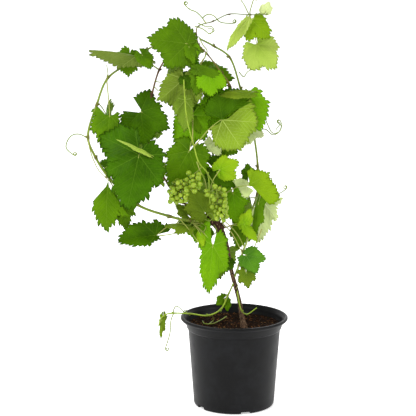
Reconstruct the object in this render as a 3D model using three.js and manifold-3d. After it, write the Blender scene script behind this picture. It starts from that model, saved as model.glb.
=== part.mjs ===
// A young fruiting grapevine in a round nursery pot, at its real size, in millimetres, +Z up.
// The origin is the centre of the pot's flat underside, and -Y is the side it is looked at from.
import * as THREE from "three";
import { mergeVertices } from "three/addons/utils/BufferGeometryUtils.js";
import Module from "manifold-3d";

const wasm = await Module();
wasm.setup();

// Driving dimensions.
const clearance = 0.3; // between pieces that meet
const pot = {
  rimRadius: 95,
  height: 159,
  baseRadius: 71.5,
  wall: 2,
  lipWidth: 6.5,
  lipDepth: 6.5,
  collarRadius: 87,
  collarFootRadius: 84,
  collarDepth: 21,
  bodyTopRadius: 81.5,
  facets: 32,
};
const drain = { count: 5, width: 18, depth: 22, height: 5, firstAngle: -74 };
const soil = { level: 141, edgeLevel: 144, plateauRadius: 34, roughness: 1.6 };
const caneSides = 5;
const leafThickness = 1.1;
const leafSinus = 169; // degrees from the tip to the edge of the notch at the leaf stalk
const lobeSpacing = 52; // degrees from one lobe to the next
const lobeSlope = 0.6; // how steeply a lobe's sides run back from its point
const usualLobes = [0.82, 0.66, 0.5]; // reach of the lobes on one side, against the midrib
const smallLeaf = 46; // a blade shorter than this has two corners to a lobe in place of four
const largeLeaf = 84; // and one longer than this has an inner ring of corners
const hubShare = 0.12; // of the midrib, from the stalk to the middle of the fan of corners
const rippleSize = 0.035;
const stalk = { baseRadius: 1.4, tipRadius: 0.5, sunk: 0.06 };
const forkReach = 9; // from a cane to where a mass's stem forks
const tendrilRadius = 0.6;
const berryRadius = 4.2;

// Places are read off a front elevation drawn at the pot's depth, as seen from this eye point,
// and then moved along the line of sight to their own depth: [across, up, depth].
const eye = new THREE.Vector3(-46, -2080, 688);
function place([across, up, depth]) {
  const onDrawing = new THREE.Vector3(across, 0, up);
  const reach = (depth - eye.y) / -eye.y;
  return onDrawing.sub(eye).multiplyScalar(reach).add(eye);
}

// A repeatable source of random numbers from 0 to 1.
function seeded(seed) {
  let state = seed >>> 0;
  return () => {
    state = (state + 0x6d2b79f5) >>> 0;
    let mixed = Math.imul(state ^ (state >>> 15), state | 1);
    mixed ^= mixed + Math.imul(mixed ^ (mixed >>> 7), mixed | 61);
    return ((mixed ^ (mixed >>> 14)) >>> 0) / 4294967296;
  };
}

// Solids, and the joins and cuts between them.
function solidOf(geometry) {
  const bare = new THREE.BufferGeometry();
  bare.setAttribute("position", geometry.getAttribute("position"));
  bare.setIndex(geometry.index);
  const merged = mergeVertices(bare, 1e-3);
  const corners = merged.index.array;
  const kept = [];
  for (let i = 0; i < corners.length; i += 3) {
    const [a, b, c] = [corners[i], corners[i + 1], corners[i + 2]];
    if (a !== b && b !== c && c !== a) kept.push(a, b, c);
  }
  const build = (triangles) =>
    new wasm.Manifold(
      new wasm.Mesh({
        numProp: 3,
        vertProperties: new Float32Array(merged.attributes.position.array),
        triVerts: new Uint32Array(triangles),
      }),
    );
  const made = build(kept);
  if (made.volume() > 0) return made;
  for (let i = 0; i < kept.length; i += 3) [kept[i + 1], kept[i + 2]] = [kept[i + 2], kept[i + 1]];
  return build(kept);
}

function fuse(solids) {
  return solids.reduce((whole, next) => whole.add(next));
}

function geometryOf(solid) {
  const mesh = solid.getMesh();
  const corners = mesh.numProp;
  const positions = new Float32Array((mesh.vertProperties.length / corners) * 3);
  for (let i = 0; i < positions.length / 3; i++)
    for (let k = 0; k < 3; k++) positions[i * 3 + k] = mesh.vertProperties[i * corners + k];
  const geometry = new THREE.BufferGeometry();
  geometry.setAttribute("position", new THREE.BufferAttribute(positions, 3));
  geometry.setIndex(new THREE.BufferAttribute(new Uint32Array(mesh.triVerts), 1));
  geometry.computeVertexNormals();
  return geometry;
}

// The largest piece of a solid: the scraps that a cut leaves loose are dropped.
function largestPiece(solid) {
  return solid.decompose().sort((a, b) => b.volume() - a.volume())[0];
}

// A closed skin from rows of corners, each row a ring, with a flat fan at each end.
function skin(rings) {
  const sides = rings[0].length;
  const positions = rings.flat().flatMap((p) => [p.x, p.y, p.z]);
  const triangles = [];
  for (let i = 0; i + 1 < rings.length; i++)
    for (let j = 0; j < sides; j++) {
      const [a, b] = [i * sides + j, i * sides + ((j + 1) % sides)];
      triangles.push(a, b, a + sides, b, b + sides, a + sides);
    }
  const last = (rings.length - 1) * sides;
  for (let j = 1; j + 1 < sides; j++) {
    triangles.push(0, j + 1, j);
    triangles.push(last, last + j, last + j + 1);
  }
  const geometry = new THREE.BufferGeometry();
  geometry.setAttribute("position", new THREE.Float32BufferAttribute(positions, 3));
  geometry.setIndex(triangles);
  return geometry;
}

// A round limb along a curve, from parameter u0 to u1, with its radius given by radiusAt(u).
function limb(curve, radiusAt, { u0 = 0, u1 = 1, steps = 8, sides = 6, grow = 0 } = {}) {
  const rings = [];
  let normal = new THREE.Vector3(0.3, -1, 0.2);
  for (let i = 0; i <= steps; i++) {
    const u = u0 + ((u1 - u0) * i) / steps;
    const along = curve.getTangent(u);
    const centre = curve.getPoint(u);
    if (i === 0) centre.addScaledVector(along, -grow);
    if (i === steps) centre.addScaledVector(along, grow);
    normal = normal.addScaledVector(along, -normal.dot(along)).normalize();
    const side = new THREE.Vector3().crossVectors(along, normal);
    const radius = radiusAt(u) + grow;
    rings.push(
      Array.from({ length: sides }, (_, j) => {
        const angle = (2 * Math.PI * j) / sides;
        return centre
          .clone()
          .addScaledVector(normal, radius * Math.cos(angle))
          .addScaledVector(side, radius * Math.sin(angle));
      }),
    );
  }
  return solidOf(skin(rings));
}

function taper(start, end) {
  return (u) => start + (end - start) * u;
}

// The pot: a tapering cup with a wider collar, a rolled lip and drain slots round its foot.
function potProfile() {
  const { rimRadius, height, baseRadius, wall, lipWidth, lipDepth } = pot;
  const { collarRadius, collarFootRadius, collarDepth, bodyTopRadius } = pot;
  const collarFoot = height - collarDepth;
  return [
    [0, 0],
    [baseRadius - 3, 0],
    [baseRadius, 3],
    [bodyTopRadius, collarFoot - 2],
    [collarFootRadius, collarFoot + 1],
    [collarRadius, height - lipDepth - 1],
    [rimRadius - 1, height - lipDepth],
    [rimRadius, height - 1.5],
    [rimRadius - 1.5, height],
    [rimRadius - lipWidth + 1, height],
    [collarRadius - wall, height - lipDepth - 1],
    [collarFootRadius - wall, collarFoot + 2],
    [bodyTopRadius - wall, collarFoot - 1],
    [baseRadius - wall, wall + 0.2],
    [0, wall + 0.2],
  ].map(([r, z]) => new THREE.Vector2(r, z));
}

function turned(profile) {
  return new THREE.LatheGeometry(profile, pot.facets).rotateX(Math.PI / 2);
}

function makePot() {
  const slots = Array.from({ length: drain.count }, (_, i) => {
    const angle = THREE.MathUtils.degToRad(drain.firstAngle + (360 / drain.count) * i);
    const slot = new THREE.BoxGeometry(drain.depth, drain.width, drain.height * 2);
    slot.translate(pot.baseRadius, 0, 0);
    return solidOf(slot.rotateZ(angle));
  });
  return slots.reduce((body, slot) => body.subtract(slot), solidOf(turned(potProfile())));
}

// The compost fills the pot to just under the collar's lip, level where the trunk stands.
function makeSoil() {
  const { baseRadius, wall, bodyTopRadius, collarRadius, collarFootRadius } = pot;
  const collarFoot = pot.height - pot.collarDepth;
  const inset = wall + clearance;
  const rise = (soil.edgeLevel - collarFoot - 2) / (pot.collarDepth - 9.5);
  const edgeRadius = collarFootRadius + (collarRadius - collarFootRadius) * rise - inset;
  const profile = [
    [0, wall + 0.2 + clearance],
    [baseRadius - inset, wall + 0.2 + clearance],
    [bodyTopRadius - inset, collarFoot - 1],
    [collarFootRadius - inset, collarFoot + 2],
    [edgeRadius, soil.edgeLevel],
    [(2 * edgeRadius + soil.plateauRadius) / 3, soil.edgeLevel - 0.5],
    [(edgeRadius + 2 * soil.plateauRadius) / 3, soil.level + 1],
    [soil.plateauRadius, soil.level],
    [0, soil.level],
  ].map(([r, z]) => new THREE.Vector2(r, z));
  const geometry = mergeVertices(
    turned(profile).deleteAttribute("normal").deleteAttribute("uv"),
    1e-3,
  );
  const random = seeded(11);
  const corners = geometry.getAttribute("position");
  for (let i = 0; i < corners.count; i++) {
    const radius = Math.hypot(corners.getX(i), corners.getY(i));
    const isTop = corners.getZ(i) > soil.level + 0.5 && radius < edgeRadius - 1;
    if (isTop)
      corners.setZ(i, corners.getZ(i) + (random() - 0.5) * 2 * soil.roughness);
  }
  return solidOf(geometry);
}

// The trunk: a leaning woody stem with a root flare, thickening to a knobbly head with two spurs.
const trunkLine = [
  { at: [18, 128, -12], radius: 6.8 },
  { at: [17, 141, -12], radius: 5.9 },
  { at: [15, 151, -10], radius: 4.5 },
  { at: [8, 189, -3], radius: 3.8 },
  { at: [-6, 243, 1], radius: 3.7 },
  { at: [-11, 270, 0], radius: 4.1 },
  { at: [-17, 293, -1], radius: 5.4 },
  { at: [-25, 313, -1], radius: 6.6 },
  { at: [-31, 327, -1], radius: 6.0 },
  { at: [-33, 341, 0], radius: 4.4 },
];
const leftSpur = [
  { at: [-27, 316, -1], radius: 5.0 },
  { at: [-41, 329, -2], radius: 4.6 },
  { at: [-50, 341, -3], radius: 3.6 },
];

function radiusOn(line, u) {
  const spot = Math.min(u * (line.length - 1), line.length - 1.0001);
  const i = Math.floor(spot);
  return THREE.MathUtils.lerp(line[i].radius, line[i + 1].radius, spot - i);
}

function woody(line, sides, grow = 0) {
  const curve = new THREE.CatmullRomCurve3(line.map((s) => place(s.at)));
  return limb(curve, (u) => radiusOn(line, u), { steps: line.length - 1, sides, grow });
}

function makeTrunk(grow = 0) {
  const whole = woody(trunkLine, 8, grow).add(woody(leftSpur, 6, grow));
  const groundLevel = soil.level + clearance - grow;
  const below = new THREE.BoxGeometry(80, 80, 80).translate(0, 0, groundLevel - 40);
  return whole.subtract(solidOf(below));
}

// The canes, each one curve through its own bends. parts split a cane where it bends round a gap:
// each takes the stretch up to the bend with that number.
const canes = {
  outer: {
    radii: [2.2, 1.3],
    bends: [
      [-42, 329, -3], [-78, 329, -14], [-113, 337, -26], [-172, 359, -38], [-220, 407, -40],
      [-241, 440, -34], [-254, 475, -26], [-238, 532, -10], [-218, 578, 0],
      [-171, 609, 10], [-151, 626, 12], [-120, 639, 14], [-69, 649, 6],
    ],
    parts: { outer_cane_low: 4, outer_cane_middle: 8, outer_cane_top: 12 },
    root: "trunk",
    tipOn: "main",
  },
  inner: {
    radii: [2.0, 1.2],
    bends: [
      [-48, 338, -2], [-67, 341, 4], [-88, 361, 6], [-114, 391, 4], [-147, 456, 4],
      [-152, 499, 4], [-143, 549, 4], [-130, 592, 4], [-118, 611, 2], [-94, 631, -2], [-67, 641, 1],
    ],
    parts: { inner_cane_low: 5, inner_cane_top: 10 },
    root: "trunk",
    tipOn: "main",
  },
  main: {
    radii: [3.0, 1.3],
    bends: [
      [-32, 335, 1], [-29, 352, 10], [-27, 382, 18], [-20, 429, 24], [-8, 473, 28], [-3, 511, 27],
      [-9, 564, 20], [-22, 585, 15], [-48, 619, 8], [-62, 634, 4], [-66, 651, 0], [-64, 665, -2],
      [-38, 674, -4], [-11, 686, -6], [25, 685, -12], [56, 686, -16],
    ],
    parts: { main_cane_low: 5, main_cane_top: 10, main_cane_tip: 15 },
    root: "trunk",
  },
  right: {
    radii: [2.0, 1.5],
    bends: [
      [-1, 225, 2], [8, 250, -10], [15, 274, -12], [24, 300, -4], [28, 341, 10], [39, 375, 20],
      [40, 424, 30], [33, 480, 34], [24, 521, 34], [10, 559, 28], [-10, 614, 16], [-36, 632, 9],
      [-61, 645, 2],
    ],
    parts: { right_cane_low: 5, right_cane_middle: 9, right_cane_top: 12 },
    root: "trunk",
    tipOn: "main",
  },
  centre: {
    radii: [1.9, 1.1],
    bends: [
      [-37, 338, -3], [-42, 350, -10], [-44, 377, -18], [-47, 412, -23], [-62, 431, -26],
      [-71, 461, -28], [-83, 509, -29], [-87, 556, -27], [-88, 575, -24],
    ],
    parts: { centre_shoot: 8 },
    root: "trunk",
  },
  trailing: {
    radii: [1.5, 1.0],
    bends: [
      [1, 223, 0], [-11, 196, -10], [-24, 170, -14], [-46, 159, -14], [-77, 162, -6],
      [-108, 163, 0], [-123, 160, 2], [-131, 151, 3], [-134, 140, 3],
    ],
    parts: { trailing_shoot: 8 },
    root: "trunk",
  },
  ground: {
    radii: [1.2, 0.9],
    bends: [[4, 212, -1], [8, 186, -10], [13, 168, -12], [22, 161, -6], [40, 173, 4]],
    parts: { ground_shoot: 4 },
    root: "trunk",
  },
};

for (const cane of Object.values(canes)) {
  cane.curve = new THREE.CatmullRomCurve3(cane.bends.map(place));
  cane.radiusAt = taper(...cane.radii);
}

function wholeCane(cane, grow) {
  const steps = (cane.bends.length - 1) * 2;
  return limb(cane.curve, cane.radiusAt, { steps, sides: caneSides, grow });
}

// One stretch of a cane, with half the clearance taken off each end that meets the next stretch.
function canePart(cane, from, to) {
  const spans = cane.bends.length - 1;
  const half = clearance / 2 / cane.curve.getLength();
  return limb(cane.curve, cane.radiusAt, {
    u0: from === 0 ? 0 : from / spans + half * 2,
    u1: to === spans ? 1 : to / spans - half * 2,
    steps: (to - from) * 2,
    sides: caneSides,
  });
}

// How far a blade's margin lies from the leaf stalk, as a share of the midrib, at an angle to the
// tip: left and right give the reach of the three lobes on each side, from the tip backwards.
function bladeReach(degrees, { left, right }) {
  const lobes = [1, ...(degrees > 0 ? left : right)];
  const away = Math.abs(degrees);
  const reaches = lobes.map((reach, i) => {
    const off = Math.min(Math.abs(away - i * lobeSpacing) * 1.15, 88);
    return reach / (1 + lobeSlope * Math.tan(THREE.MathUtils.degToRad(off)));
  });
  return Math.max(...reaches);
}

// The curved sheet that a leaf blade lies on, from its settings:
// at and tip are the ends of the midrib, face the way the upper side looks, fold how far the
// halves lift (or, below 0, droop) about the midrib, curl how far the midrib bends, and wide the
// width. The sheet takes shares of the midrib's length, along it and across it.
function bladeSheet({ at, tip, face, fold = -0.1, curl = 0.35, wide = 0.85 }, random) {
  const base = place(at);
  const chord = place(tip).sub(base);
  const length = (chord.length() * curl) / 2 / Math.sin(curl / 2);
  const ahead = chord.clone().normalize();
  const up = new THREE.Vector3(...face);
  up.addScaledVector(ahead, -up.dot(ahead)).normalize();
  const along = ahead.clone().multiplyScalar(Math.cos(curl / 2));
  along.addScaledVector(up, Math.sin(curl / 2));
  const normal = up.clone().multiplyScalar(Math.cos(curl / 2));
  normal.addScaledVector(ahead, -Math.sin(curl / 2));
  const across = new THREE.Vector3().crossVectors(normal, along);
  const ripplePhase = random() * 2 * Math.PI;

  const surface = (a, b) => {
    const angle = Math.atan2(b, a);
    const out = Math.hypot(a, b);
    const ripple = rippleSize * Math.sin(3 * angle + ripplePhase) * out * out;
    const lift = Math.sin(fold) * Math.sqrt(b * b + 0.0004) + ripple;
    const sweep = curl * a;
    const forward = Math.sin(sweep) / curl + lift * Math.sin(sweep);
    const rise = (Math.cos(sweep) - 1) / curl + lift * Math.cos(sweep);
    return base
      .clone()
      .addScaledVector(along, forward * length)
      .addScaledVector(across, b * Math.cos(fold) * wide * length)
      .addScaledVector(normal, rise * length);
  };
  const offset = (a, b, distance) => {
    const step = 0.01;
    const alongA = surface(a + step, b).sub(surface(a - step, b));
    const alongB = surface(a, b + step).sub(surface(a, b - step));
    return surface(a, b).addScaledVector(alongA.cross(alongB).normalize(), distance);
  };
  return { base, length, offset, sunkEnd: surface(stalk.sunk, 0) };
}

// One leaf blade: a thin closed plate between two layers, each a fan of spokes about a hub that lies
// a little way up the midrib, with the notch for the stalk cut in to the end of the midrib.
function blade(leaf, random) {
  const sheet = bladeSheet(leaf, random);
  const sides = { left: leaf.left ?? usualLobes, right: leaf.right ?? usualLobes };
  const angleStep = sheet.length < smallLeaf ? lobeSpacing / 2 : lobeSpacing / 4;
  const half = Math.floor((leaf.notch ?? leafSinus) / angleStep);
  const spokes = Array.from({ length: 2 * half + 1 }, (_, i) => (i - half) * angleStep);
  const hasInnerRing = sheet.length > largeLeaf;
  const corner = (index, share, distance) => {
    const reach = bladeReach(spokes[index], sides) * share;
    const angle = THREE.MathUtils.degToRad(spokes[index]);
    return sheet.offset(reach * Math.cos(angle), reach * Math.sin(angle), distance);
  };
  const positions = [];
  const triangles = [];
  const add = (p) => positions.push(p.x, p.y, p.z) / 3 - 1;
  const layers = [leafThickness / 2, -leafThickness / 2].map((distance, layer) => {
    const hub = add(sheet.offset(hubShare, 0, distance));
    const notch = add(sheet.offset(0, 0, distance));
    const rim = spokes.map((_, i) => add(corner(i, 1, distance)));
    const put = (a, b, c) => triangles.push(...(layer === 0 ? [a, b, c] : [a, c, b]));
    const ring = [];
    if (hasInnerRing)
      for (let i = 0; i < rim.length; i += 2) ring.push(add(corner(i, 0.52, distance)));
    const fan = [notch, ...(hasInnerRing ? ring : rim)];
    for (let i = 0; i < fan.length; i++) put(hub, fan[i], fan[(i + 1) % fan.length]);
    for (let i = 0; i + 1 < ring.length; i++) {
      put(ring[i], rim[2 * i], rim[2 * i + 1]);
      put(ring[i], rim[2 * i + 1], ring[i + 1]);
      put(ring[i + 1], rim[2 * i + 1], rim[2 * i + 2]);
    }
    return [notch, ...ring.slice(0, 1), ...rim, ...ring.slice(-1)];
  });
  const [top, bottom] = layers;
  for (let i = 0; i < top.length; i++) {
    const j = (i + 1) % top.length;
    triangles.push(top[i], bottom[i], top[j], top[j], bottom[i], bottom[j]);
  }
  const geometry = new THREE.BufferGeometry();
  geometry.setAttribute("position", new THREE.Float32BufferAttribute(positions, 3));
  geometry.setIndex(triangles);
  return { solid: solidOf(geometry), base: sheet.base, sunkEnd: sheet.sunkEnd };
}

// Where a stem of some radius, heading for a target, starts at a limb: it sets out from the limb's
// axis and stops as soon as its end is clear of the surface.
function socket(line, near, target, radius) {
  const axis = Array.from({ length: 401 }, (_, i) => ({
    point: line.curve.getPoint(i / 400),
    radius: line.radiusAt(i / 400),
  }));
  const nearer = (a, b) => (b.point.distanceTo(near) < a.point.distanceTo(near) ? b : a);
  const root = axis.reduce(nearer).point.clone();
  const heading = target.clone().sub(root).normalize();
  const isInside = () =>
    axis.some((spot) => {
      const out = root.clone().sub(spot.point);
      const distance = out.length() + 1e-9;
      const facing = Math.min(1, Math.abs(out.dot(heading)) / distance);
      return distance - 0.6 * radius * Math.sqrt(1 - facing * facing) < spot.radius + clearance;
    });
  while (isInside()) root.addScaledVector(heading, 0.15);
  return root;
}

function rod(points, radiusStart, radiusEnd, steps) {
  const curve = new THREE.CatmullRomCurve3(points);
  return limb(curve, taper(radiusStart, radiusEnd), { steps, sides: 3 });
}

// A stalk arches a little on its way from the cane and runs on into the blade.
function leafStalk(from, made) {
  const crown = from.clone().lerp(made.base, 0.5);
  crown.z += from.distanceTo(made.base) * 0.08;
  const line = new THREE.CatmullRomCurve3([from, crown, made.base, made.sunkEnd]);
  const { baseRadius, tipRadius } = stalk;
  const radiusAt = (u) => baseRadius + (tipRadius - baseRadius) * Math.min(1, u * 1.5);
  return limb(line, radiusAt, { steps: 3, sides: 3 });
}

// A spray is a mass of foliage: one stem from a cane, forking into stalks with their leaves,
// and the tendrils that grow beside them.
function makeSpray({ on, base, leaves = [], tendrils = [] }, seed) {
  const random = seeded(seed);
  const line = on === "trunk" ? trunkAxis : canes[on];
  const blades = leaves.map((leaf) => blade(leaf, random));
  const tendrilLines = tendrils.map((bends) => bends.map(place));
  const targets = [...blades.map((made) => made.base), ...tendrilLines.map((bends) => bends[0])];
  const middle = new THREE.Vector3();
  for (const target of targets) middle.addScaledVector(target, 1 / targets.length);
  const stemRadius = targets.length > 1 ? stalk.baseRadius + 0.5 : stalk.baseRadius;
  const root = socket(line, place(base), middle, stemRadius);
  const pieces = [];
  let fork = root;
  if (targets.length > 1) {
    const reach = Math.min(0.35, forkReach / root.distanceTo(middle));
    fork = root.clone().lerp(middle, reach);
    const past = root.clone().lerp(middle, reach * 1.15);
    pieces.push(rod([root, past], stemRadius, stemRadius - 0.2, 1));
  }
  for (const made of blades) pieces.push(made.solid, leafStalk(fork, made));
  for (const bends of tendrilLines)
    pieces.push(rod([fork, ...bends], tendrilRadius + 0.3, tendrilRadius, bends.length * 2));
  return fuse(pieces);
}

// A bunch of unripe grapes: berries on short stalks, spiralling down a hanging stem.
function makeBunch({ on, base, top, bottom, width, berries }, seed) {
  const random = seeded(seed);
  const goldenAngle = Math.PI * (3 - Math.sqrt(5));
  const [head, foot] = [place(top), place(bottom)];
  const root = socket(canes[on], place(base), head, 1.5);
  const pieces = [rod([root, root.clone().lerp(head, 0.6), head, foot], 1.5, 1.0, 5)];
  for (let i = 0; i < berries; i++) {
    const down = (i + 0.5) / berries;
    const axis = head.clone().lerp(foot, down);
    const shoulder = Math.sin(Math.PI * Math.min(1, 0.28 + 0.68 * down)) * 0.75 + 0.25;
    const reach = (width / 2 - berryRadius) * shoulder * (0.75 + 0.35 * random());
    const turn = i * goldenAngle + random() * 0.5;
    const centre = axis.clone();
    centre.x += reach * Math.cos(turn);
    centre.y += reach * Math.sin(turn);
    centre.z -= reach * 0.25;
    const berry = new THREE.IcosahedronGeometry(berryRadius, 0);
    berry.rotateX(random() * 3).rotateZ(random() * 3).translate(centre.x, centre.y, centre.z);
    pieces.push(solidOf(berry), rod([axis, centre], 0.8, 0.8, 1));
  }
  return fuse(pieces);
}

const trunkAxis = {
  curve: new THREE.CatmullRomCurve3(trunkLine.map((s) => place(s.at))),
  radiusAt: (u) => radiusOn(trunkLine, u),
};

// The foliage, each mass named for its place on the plant.
const front = [0, -0.97, 0.2];
const sprays = {
  leaves_top: {
    on: "main",
    base: [-61, 633, 4],
    leaves: [
      {
        at: [-82, 636, -20], tip: [-147, 644, -30], face: [0.1, -0.95, 0.25], wide: 0.95,
        left: [0.87, 0.6, 0.35], right: [0.8, 0.45, 0.25],
      },
      { at: [-74, 636, -12], tip: [-65, 611, -16], face: front, wide: 0.6 },
      { at: [-90, 620, 42], tip: [-104, 572, 78], face: [-0.6, 0.4, 0.7], curl: 0.6 },
    ],
  },
  leaves_upper_left: {
    on: "inner",
    base: [-130, 592, 2],
    leaves: [
      {
        at: [-168, 616, -8], tip: [-248, 628, -24], face: [-0.1, -0.35, 0.95],
        curl: 0.2, fold: -0.55, wide: 0.9, left: [0.7, 0.5, 0.1],
      },
      { at: [-159, 617, -12], tip: [-144, 594, -16], face: [0.1, -0.9, 0.4] },
    ],
  },
  leaves_left: {
    on: "outer",
    base: [-219, 574, 0],
    leaves: [
      {
        at: [-214, 512, -28], tip: [-230, 448, -34], face: [-0.15, -0.97, 0.2],
        left: [0.8, 0.4, 0.1], right: [0.75, 0.3, 0.1],
      },
    ],
  },
  leaves_left_inner: {
    on: "inner",
    base: [-151, 490, 4],
    leaves: [
      {
        at: [-162, 520, -6], tip: [-116, 490, -12], face: [0, -0.98, 0.15], wide: 0.95,
        left: [0.68, 0.8, 0.6], right: [1.1, 0.95, 0.66], notch: 150,
      },
      { at: [-150, 492, 34], tip: [-160, 438, 74], face: [-0.7, 0.3, 0.5], curl: 0.6 },
    ],
  },
  leaves_left_front: {
    on: "inner",
    base: [-147, 456, 4],
    leaves: [
      {
        at: [-166, 445, -68], tip: [-188, 350, -70], face: [0, -0.99, 0.08], wide: 0.9,
        left: [0.68, 0.5, 0.25], right: [0.72, 0.88, 0.3],
      },
      {
        at: [-153, 448, -82], tip: [-203, 470, -86], face: [0.2, -0.8, 0.6], wide: 0.3,
        left: [0.6, 0.4, 0.2], right: [0.6, 0.4, 0.2],
      },
      { at: [-152, 426, 40], tip: [-166, 374, 84], face: [-0.2, 0.6, 0.75], curl: 0.6, wide: 0.7 },
    ],
  },
  leaves_lower_left: {
    on: "outer",
    base: [-221, 408, -40],
    leaves: [
      {
        at: [-215, 386, -52], tip: [-227, 309, -56], face: [-0.2, -0.95, 0.15], wide: 0.7,
        left: [0.95, 0.45, 0.25], right: [0.66, 0.3, 0.15],
      },
      { at: [-200, 362, -38], tip: [-188, 313, -40], face: [0, -0.97, 0.15], wide: 0.6 },
    ],
  },
  leaf_left_small: {
    on: "outer",
    base: [-230, 420, -37],
    leaves: [{ at: [-206, 426, -22], tip: [-234, 432, -18], face: [0, -0.9, 0.4] }],
  },
  leaves_low_left: {
    on: "outer",
    base: [-95, 333, -20],
    leaves: [
      {
        at: [-136, 302, -36], tip: [-203, 291, -50], face: [0.05, -0.6, 0.8], wide: 0.9,
        left: [0.5, 0.2, 0.1], right: [0.8, 0.6, 0.5],
      },
      { at: [-85, 321, -26], tip: [-122, 318, -34], face: [0, -0.3, 0.95], wide: 0.8 },
    ],
  },
  leaves_centre_top: {
    on: "centre",
    base: [-88, 569, -24],
    leaves: [
      {
        at: [-88, 576, -15], tip: [-92, 508, -14], face: [0.05, 0.97, 0.15], fold: 0.05, wide: 0.8,
        left: [0.9, 0.4, 0.1], right: [0.75, 0.4, 0.1],
      },
    ],
  },
  leaves_centre_left: {
    on: "centre",
    base: [-72, 465, -28],
    leaves: [
      {
        at: [-74, 514, 2], tip: [-95, 450, 6], face: front, wide: 0.8,
        left: [0.8, 0.6, 0.3], right: [0.6, 0.5, 0.3],
      },
      {
        at: [-79, 452, -12], tip: [-113, 393, -18], face: front, wide: 0.9,
        left: [0.9, 0.6, 0.3], right: [0.65, 0.5, 0.3],
      },
    ],
  },
  leaves_inner_top: {
    on: "main",
    base: [-50, 621, 8],
    leaves: [
      {
        at: [-46, 590, -30], tip: [-38, 546, -38], face: [0.1, -0.95, 0.25], wide: 1,
        left: [0.8, 0.4, 0.1], right: [0.85, 0.5, 0.1],
      },
      {
        at: [-62, 588, 8], tip: [-5, 575, 4], face: [0.1, -0.85, 0.5], wide: 0.9,
        left: [0.65, 0.3, 0.15], right: [0.85, 0.6, 0.5],
      },
    ],
  },
  leaves_right_top: {
    on: "centre",
    base: [-71, 460, -28],
    leaves: [
      {
        at: [-22, 504, -8], tip: [56, 539, -4], face: [0, 0.98, 0.1], fold: 0.08, wide: 0.95,
        left: [0.74, 0.62, 0.35], right: [0.8, 0.55, 0.45],
      },
    ],
  },
  leaves_centre_right: {
    on: "main",
    base: [-12, 460, 27],
    leaves: [
      { at: [-38, 476, 10], tip: [-27, 443, 6], face: [0, 0.95, 0.1], wide: 1 },
      { at: [-24, 464, 16], tip: [4, 449, 14], face: front, wide: 1 },
    ],
  },
  leaves_back_right: {
    on: "main",
    base: [-3, 511, 27],
    leaves: [
      { at: [-26, 540, 38], tip: [-50, 488, 34], face: front, wide: 0.8 },
      { at: [2, 516, 66], tip: [14, 466, 100], face: [0.7, 0.4, 0.6], curl: 0.5 },
      { at: [-38, 520, 80], tip: [-66, 482, 116], face: [-0.2, 0.6, 0.75], curl: 0.5 },
    ],
  },
  leaves_middle: {
    on: "main",
    base: [-25, 400, 20],
    leaves: [
      {
        at: [-27, 419, -14], tip: [7, 433, -20], face: [0, -0.93, 0.35],
        left: [0.82, 0.55, 0.35], right: [0.95, 0.3, 0.2],
      },
      { at: [-38, 422, 1], tip: [0, 390, -1], face: front, wide: 0.75 },
    ],
  },
  leaves_right: {
    on: "main",
    base: [-28, 372, 16],
    leaves: [
      {
        at: [23, 391, -24], tip: [78, 370, -30], face: [0.1, -0.9, 0.4],
        left: [0.75, 0.5, 0.2], right: [0.5, 0.2, 0.15],
      },
      {
        at: [21, 391, -6], tip: [-2, 400, -8], face: [0, 0.95, 0.1],
        left: [0.5, 0.4, 0.3], right: [0.6, 0.95, 0.6],
      },
    ],
  },
  leaf_right_small: {
    on: "right",
    base: [40, 412, 28],
    leaves: [{ at: [24, 408, 16], tip: [22, 430, 16], face: front, wide: 0.8 }],
    tendrils: [[[48, 416, 26], [56, 408, 20], [60, 400, 14]]],
  },
  leaf_right_back: {
    on: "right",
    base: [26, 512, 34],
    leaves: [{ at: [32, 534, 50], tip: [40, 476, 58], face: [1, 0.15, 0.15], wide: 0.7 }],
  },
  leaf_left_back: {
    on: "outer",
    base: [-236, 536, -10],
    leaves: [{ at: [-222, 514, 12], tip: [-218, 456, 24], face: [-1, 0.1, 0.1], wide: 0.7 }],
  },
  leaf_right_edge: {
    on: "right",
    base: [33, 484, 34],
    leaves: [{ at: [26, 490, 22], tip: [50, 478, 20], face: [0, 0.9, 0.3], wide: 0.9 }],
    tendrils: [[[52, 490, 30], [66, 480, 28], [76, 485, 26], [80, 496, 26], [74, 501, 26]]],
  },
  leaves_behind_bunch: {
    on: "main",
    base: [-26, 390, 19],
    leaves: [
      {
        at: [-3, 378, 16], tip: [4, 325, 10], face: [0, -1, 0.1], wide: 0.75,
        left: [0.68, 0.5, 0.3], right: [0.7, 0.5, 0.3],
      },
      { at: [-36, 396, 52], tip: [-46, 344, 90], face: [-0.1, 0.6, 0.75], curl: 0.6, wide: 0.75 },
    ],
  },
  leaves_heart: {
    on: "inner",
    base: [-62, 338, 2],
    leaves: [
      { at: [-52, 344, -16], tip: [-80, 387, -18], face: [0.1, -1, 0], wide: 0.75 },
      { at: [-82, 340, 20], tip: [-103, 359, 24], face: [0, -0.9, 0.4], wide: 0.6 },
    ],
  },
  leaves_right_low: {
    on: "right",
    base: [38, 372, 19],
    leaves: [
      {
        at: [48, 363, 12], tip: [40, 293, 6], face: [-0.1, 0.95, 0], wide: 0.8,
        left: [0.3, 0.3, 0.1], right: [0.6, 0.55, 0.2],
      },
      { at: [44, 361, -6], tip: [37, 298, -10], face: [-0.6, -0.75, 0.1], wide: 0.35 },
      { at: [22, 366, 54], tip: [16, 318, 80], face: [0.8, 0.3, 0.5], curl: 0.5, wide: 0.7 },
    ],
    tendrils: [[[58, 372, 6], [74, 376, -6], [81, 379, -8], [90, 386, -8]]],
  },
  leaves_low_right: {
    on: "trunk",
    base: [-25, 316, -1],
    leaves: [
      {
        at: [15, 324, -16], tip: [39, 293, -20], face: [0.3, -0.9, 0.3], wide: 0.7,
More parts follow.
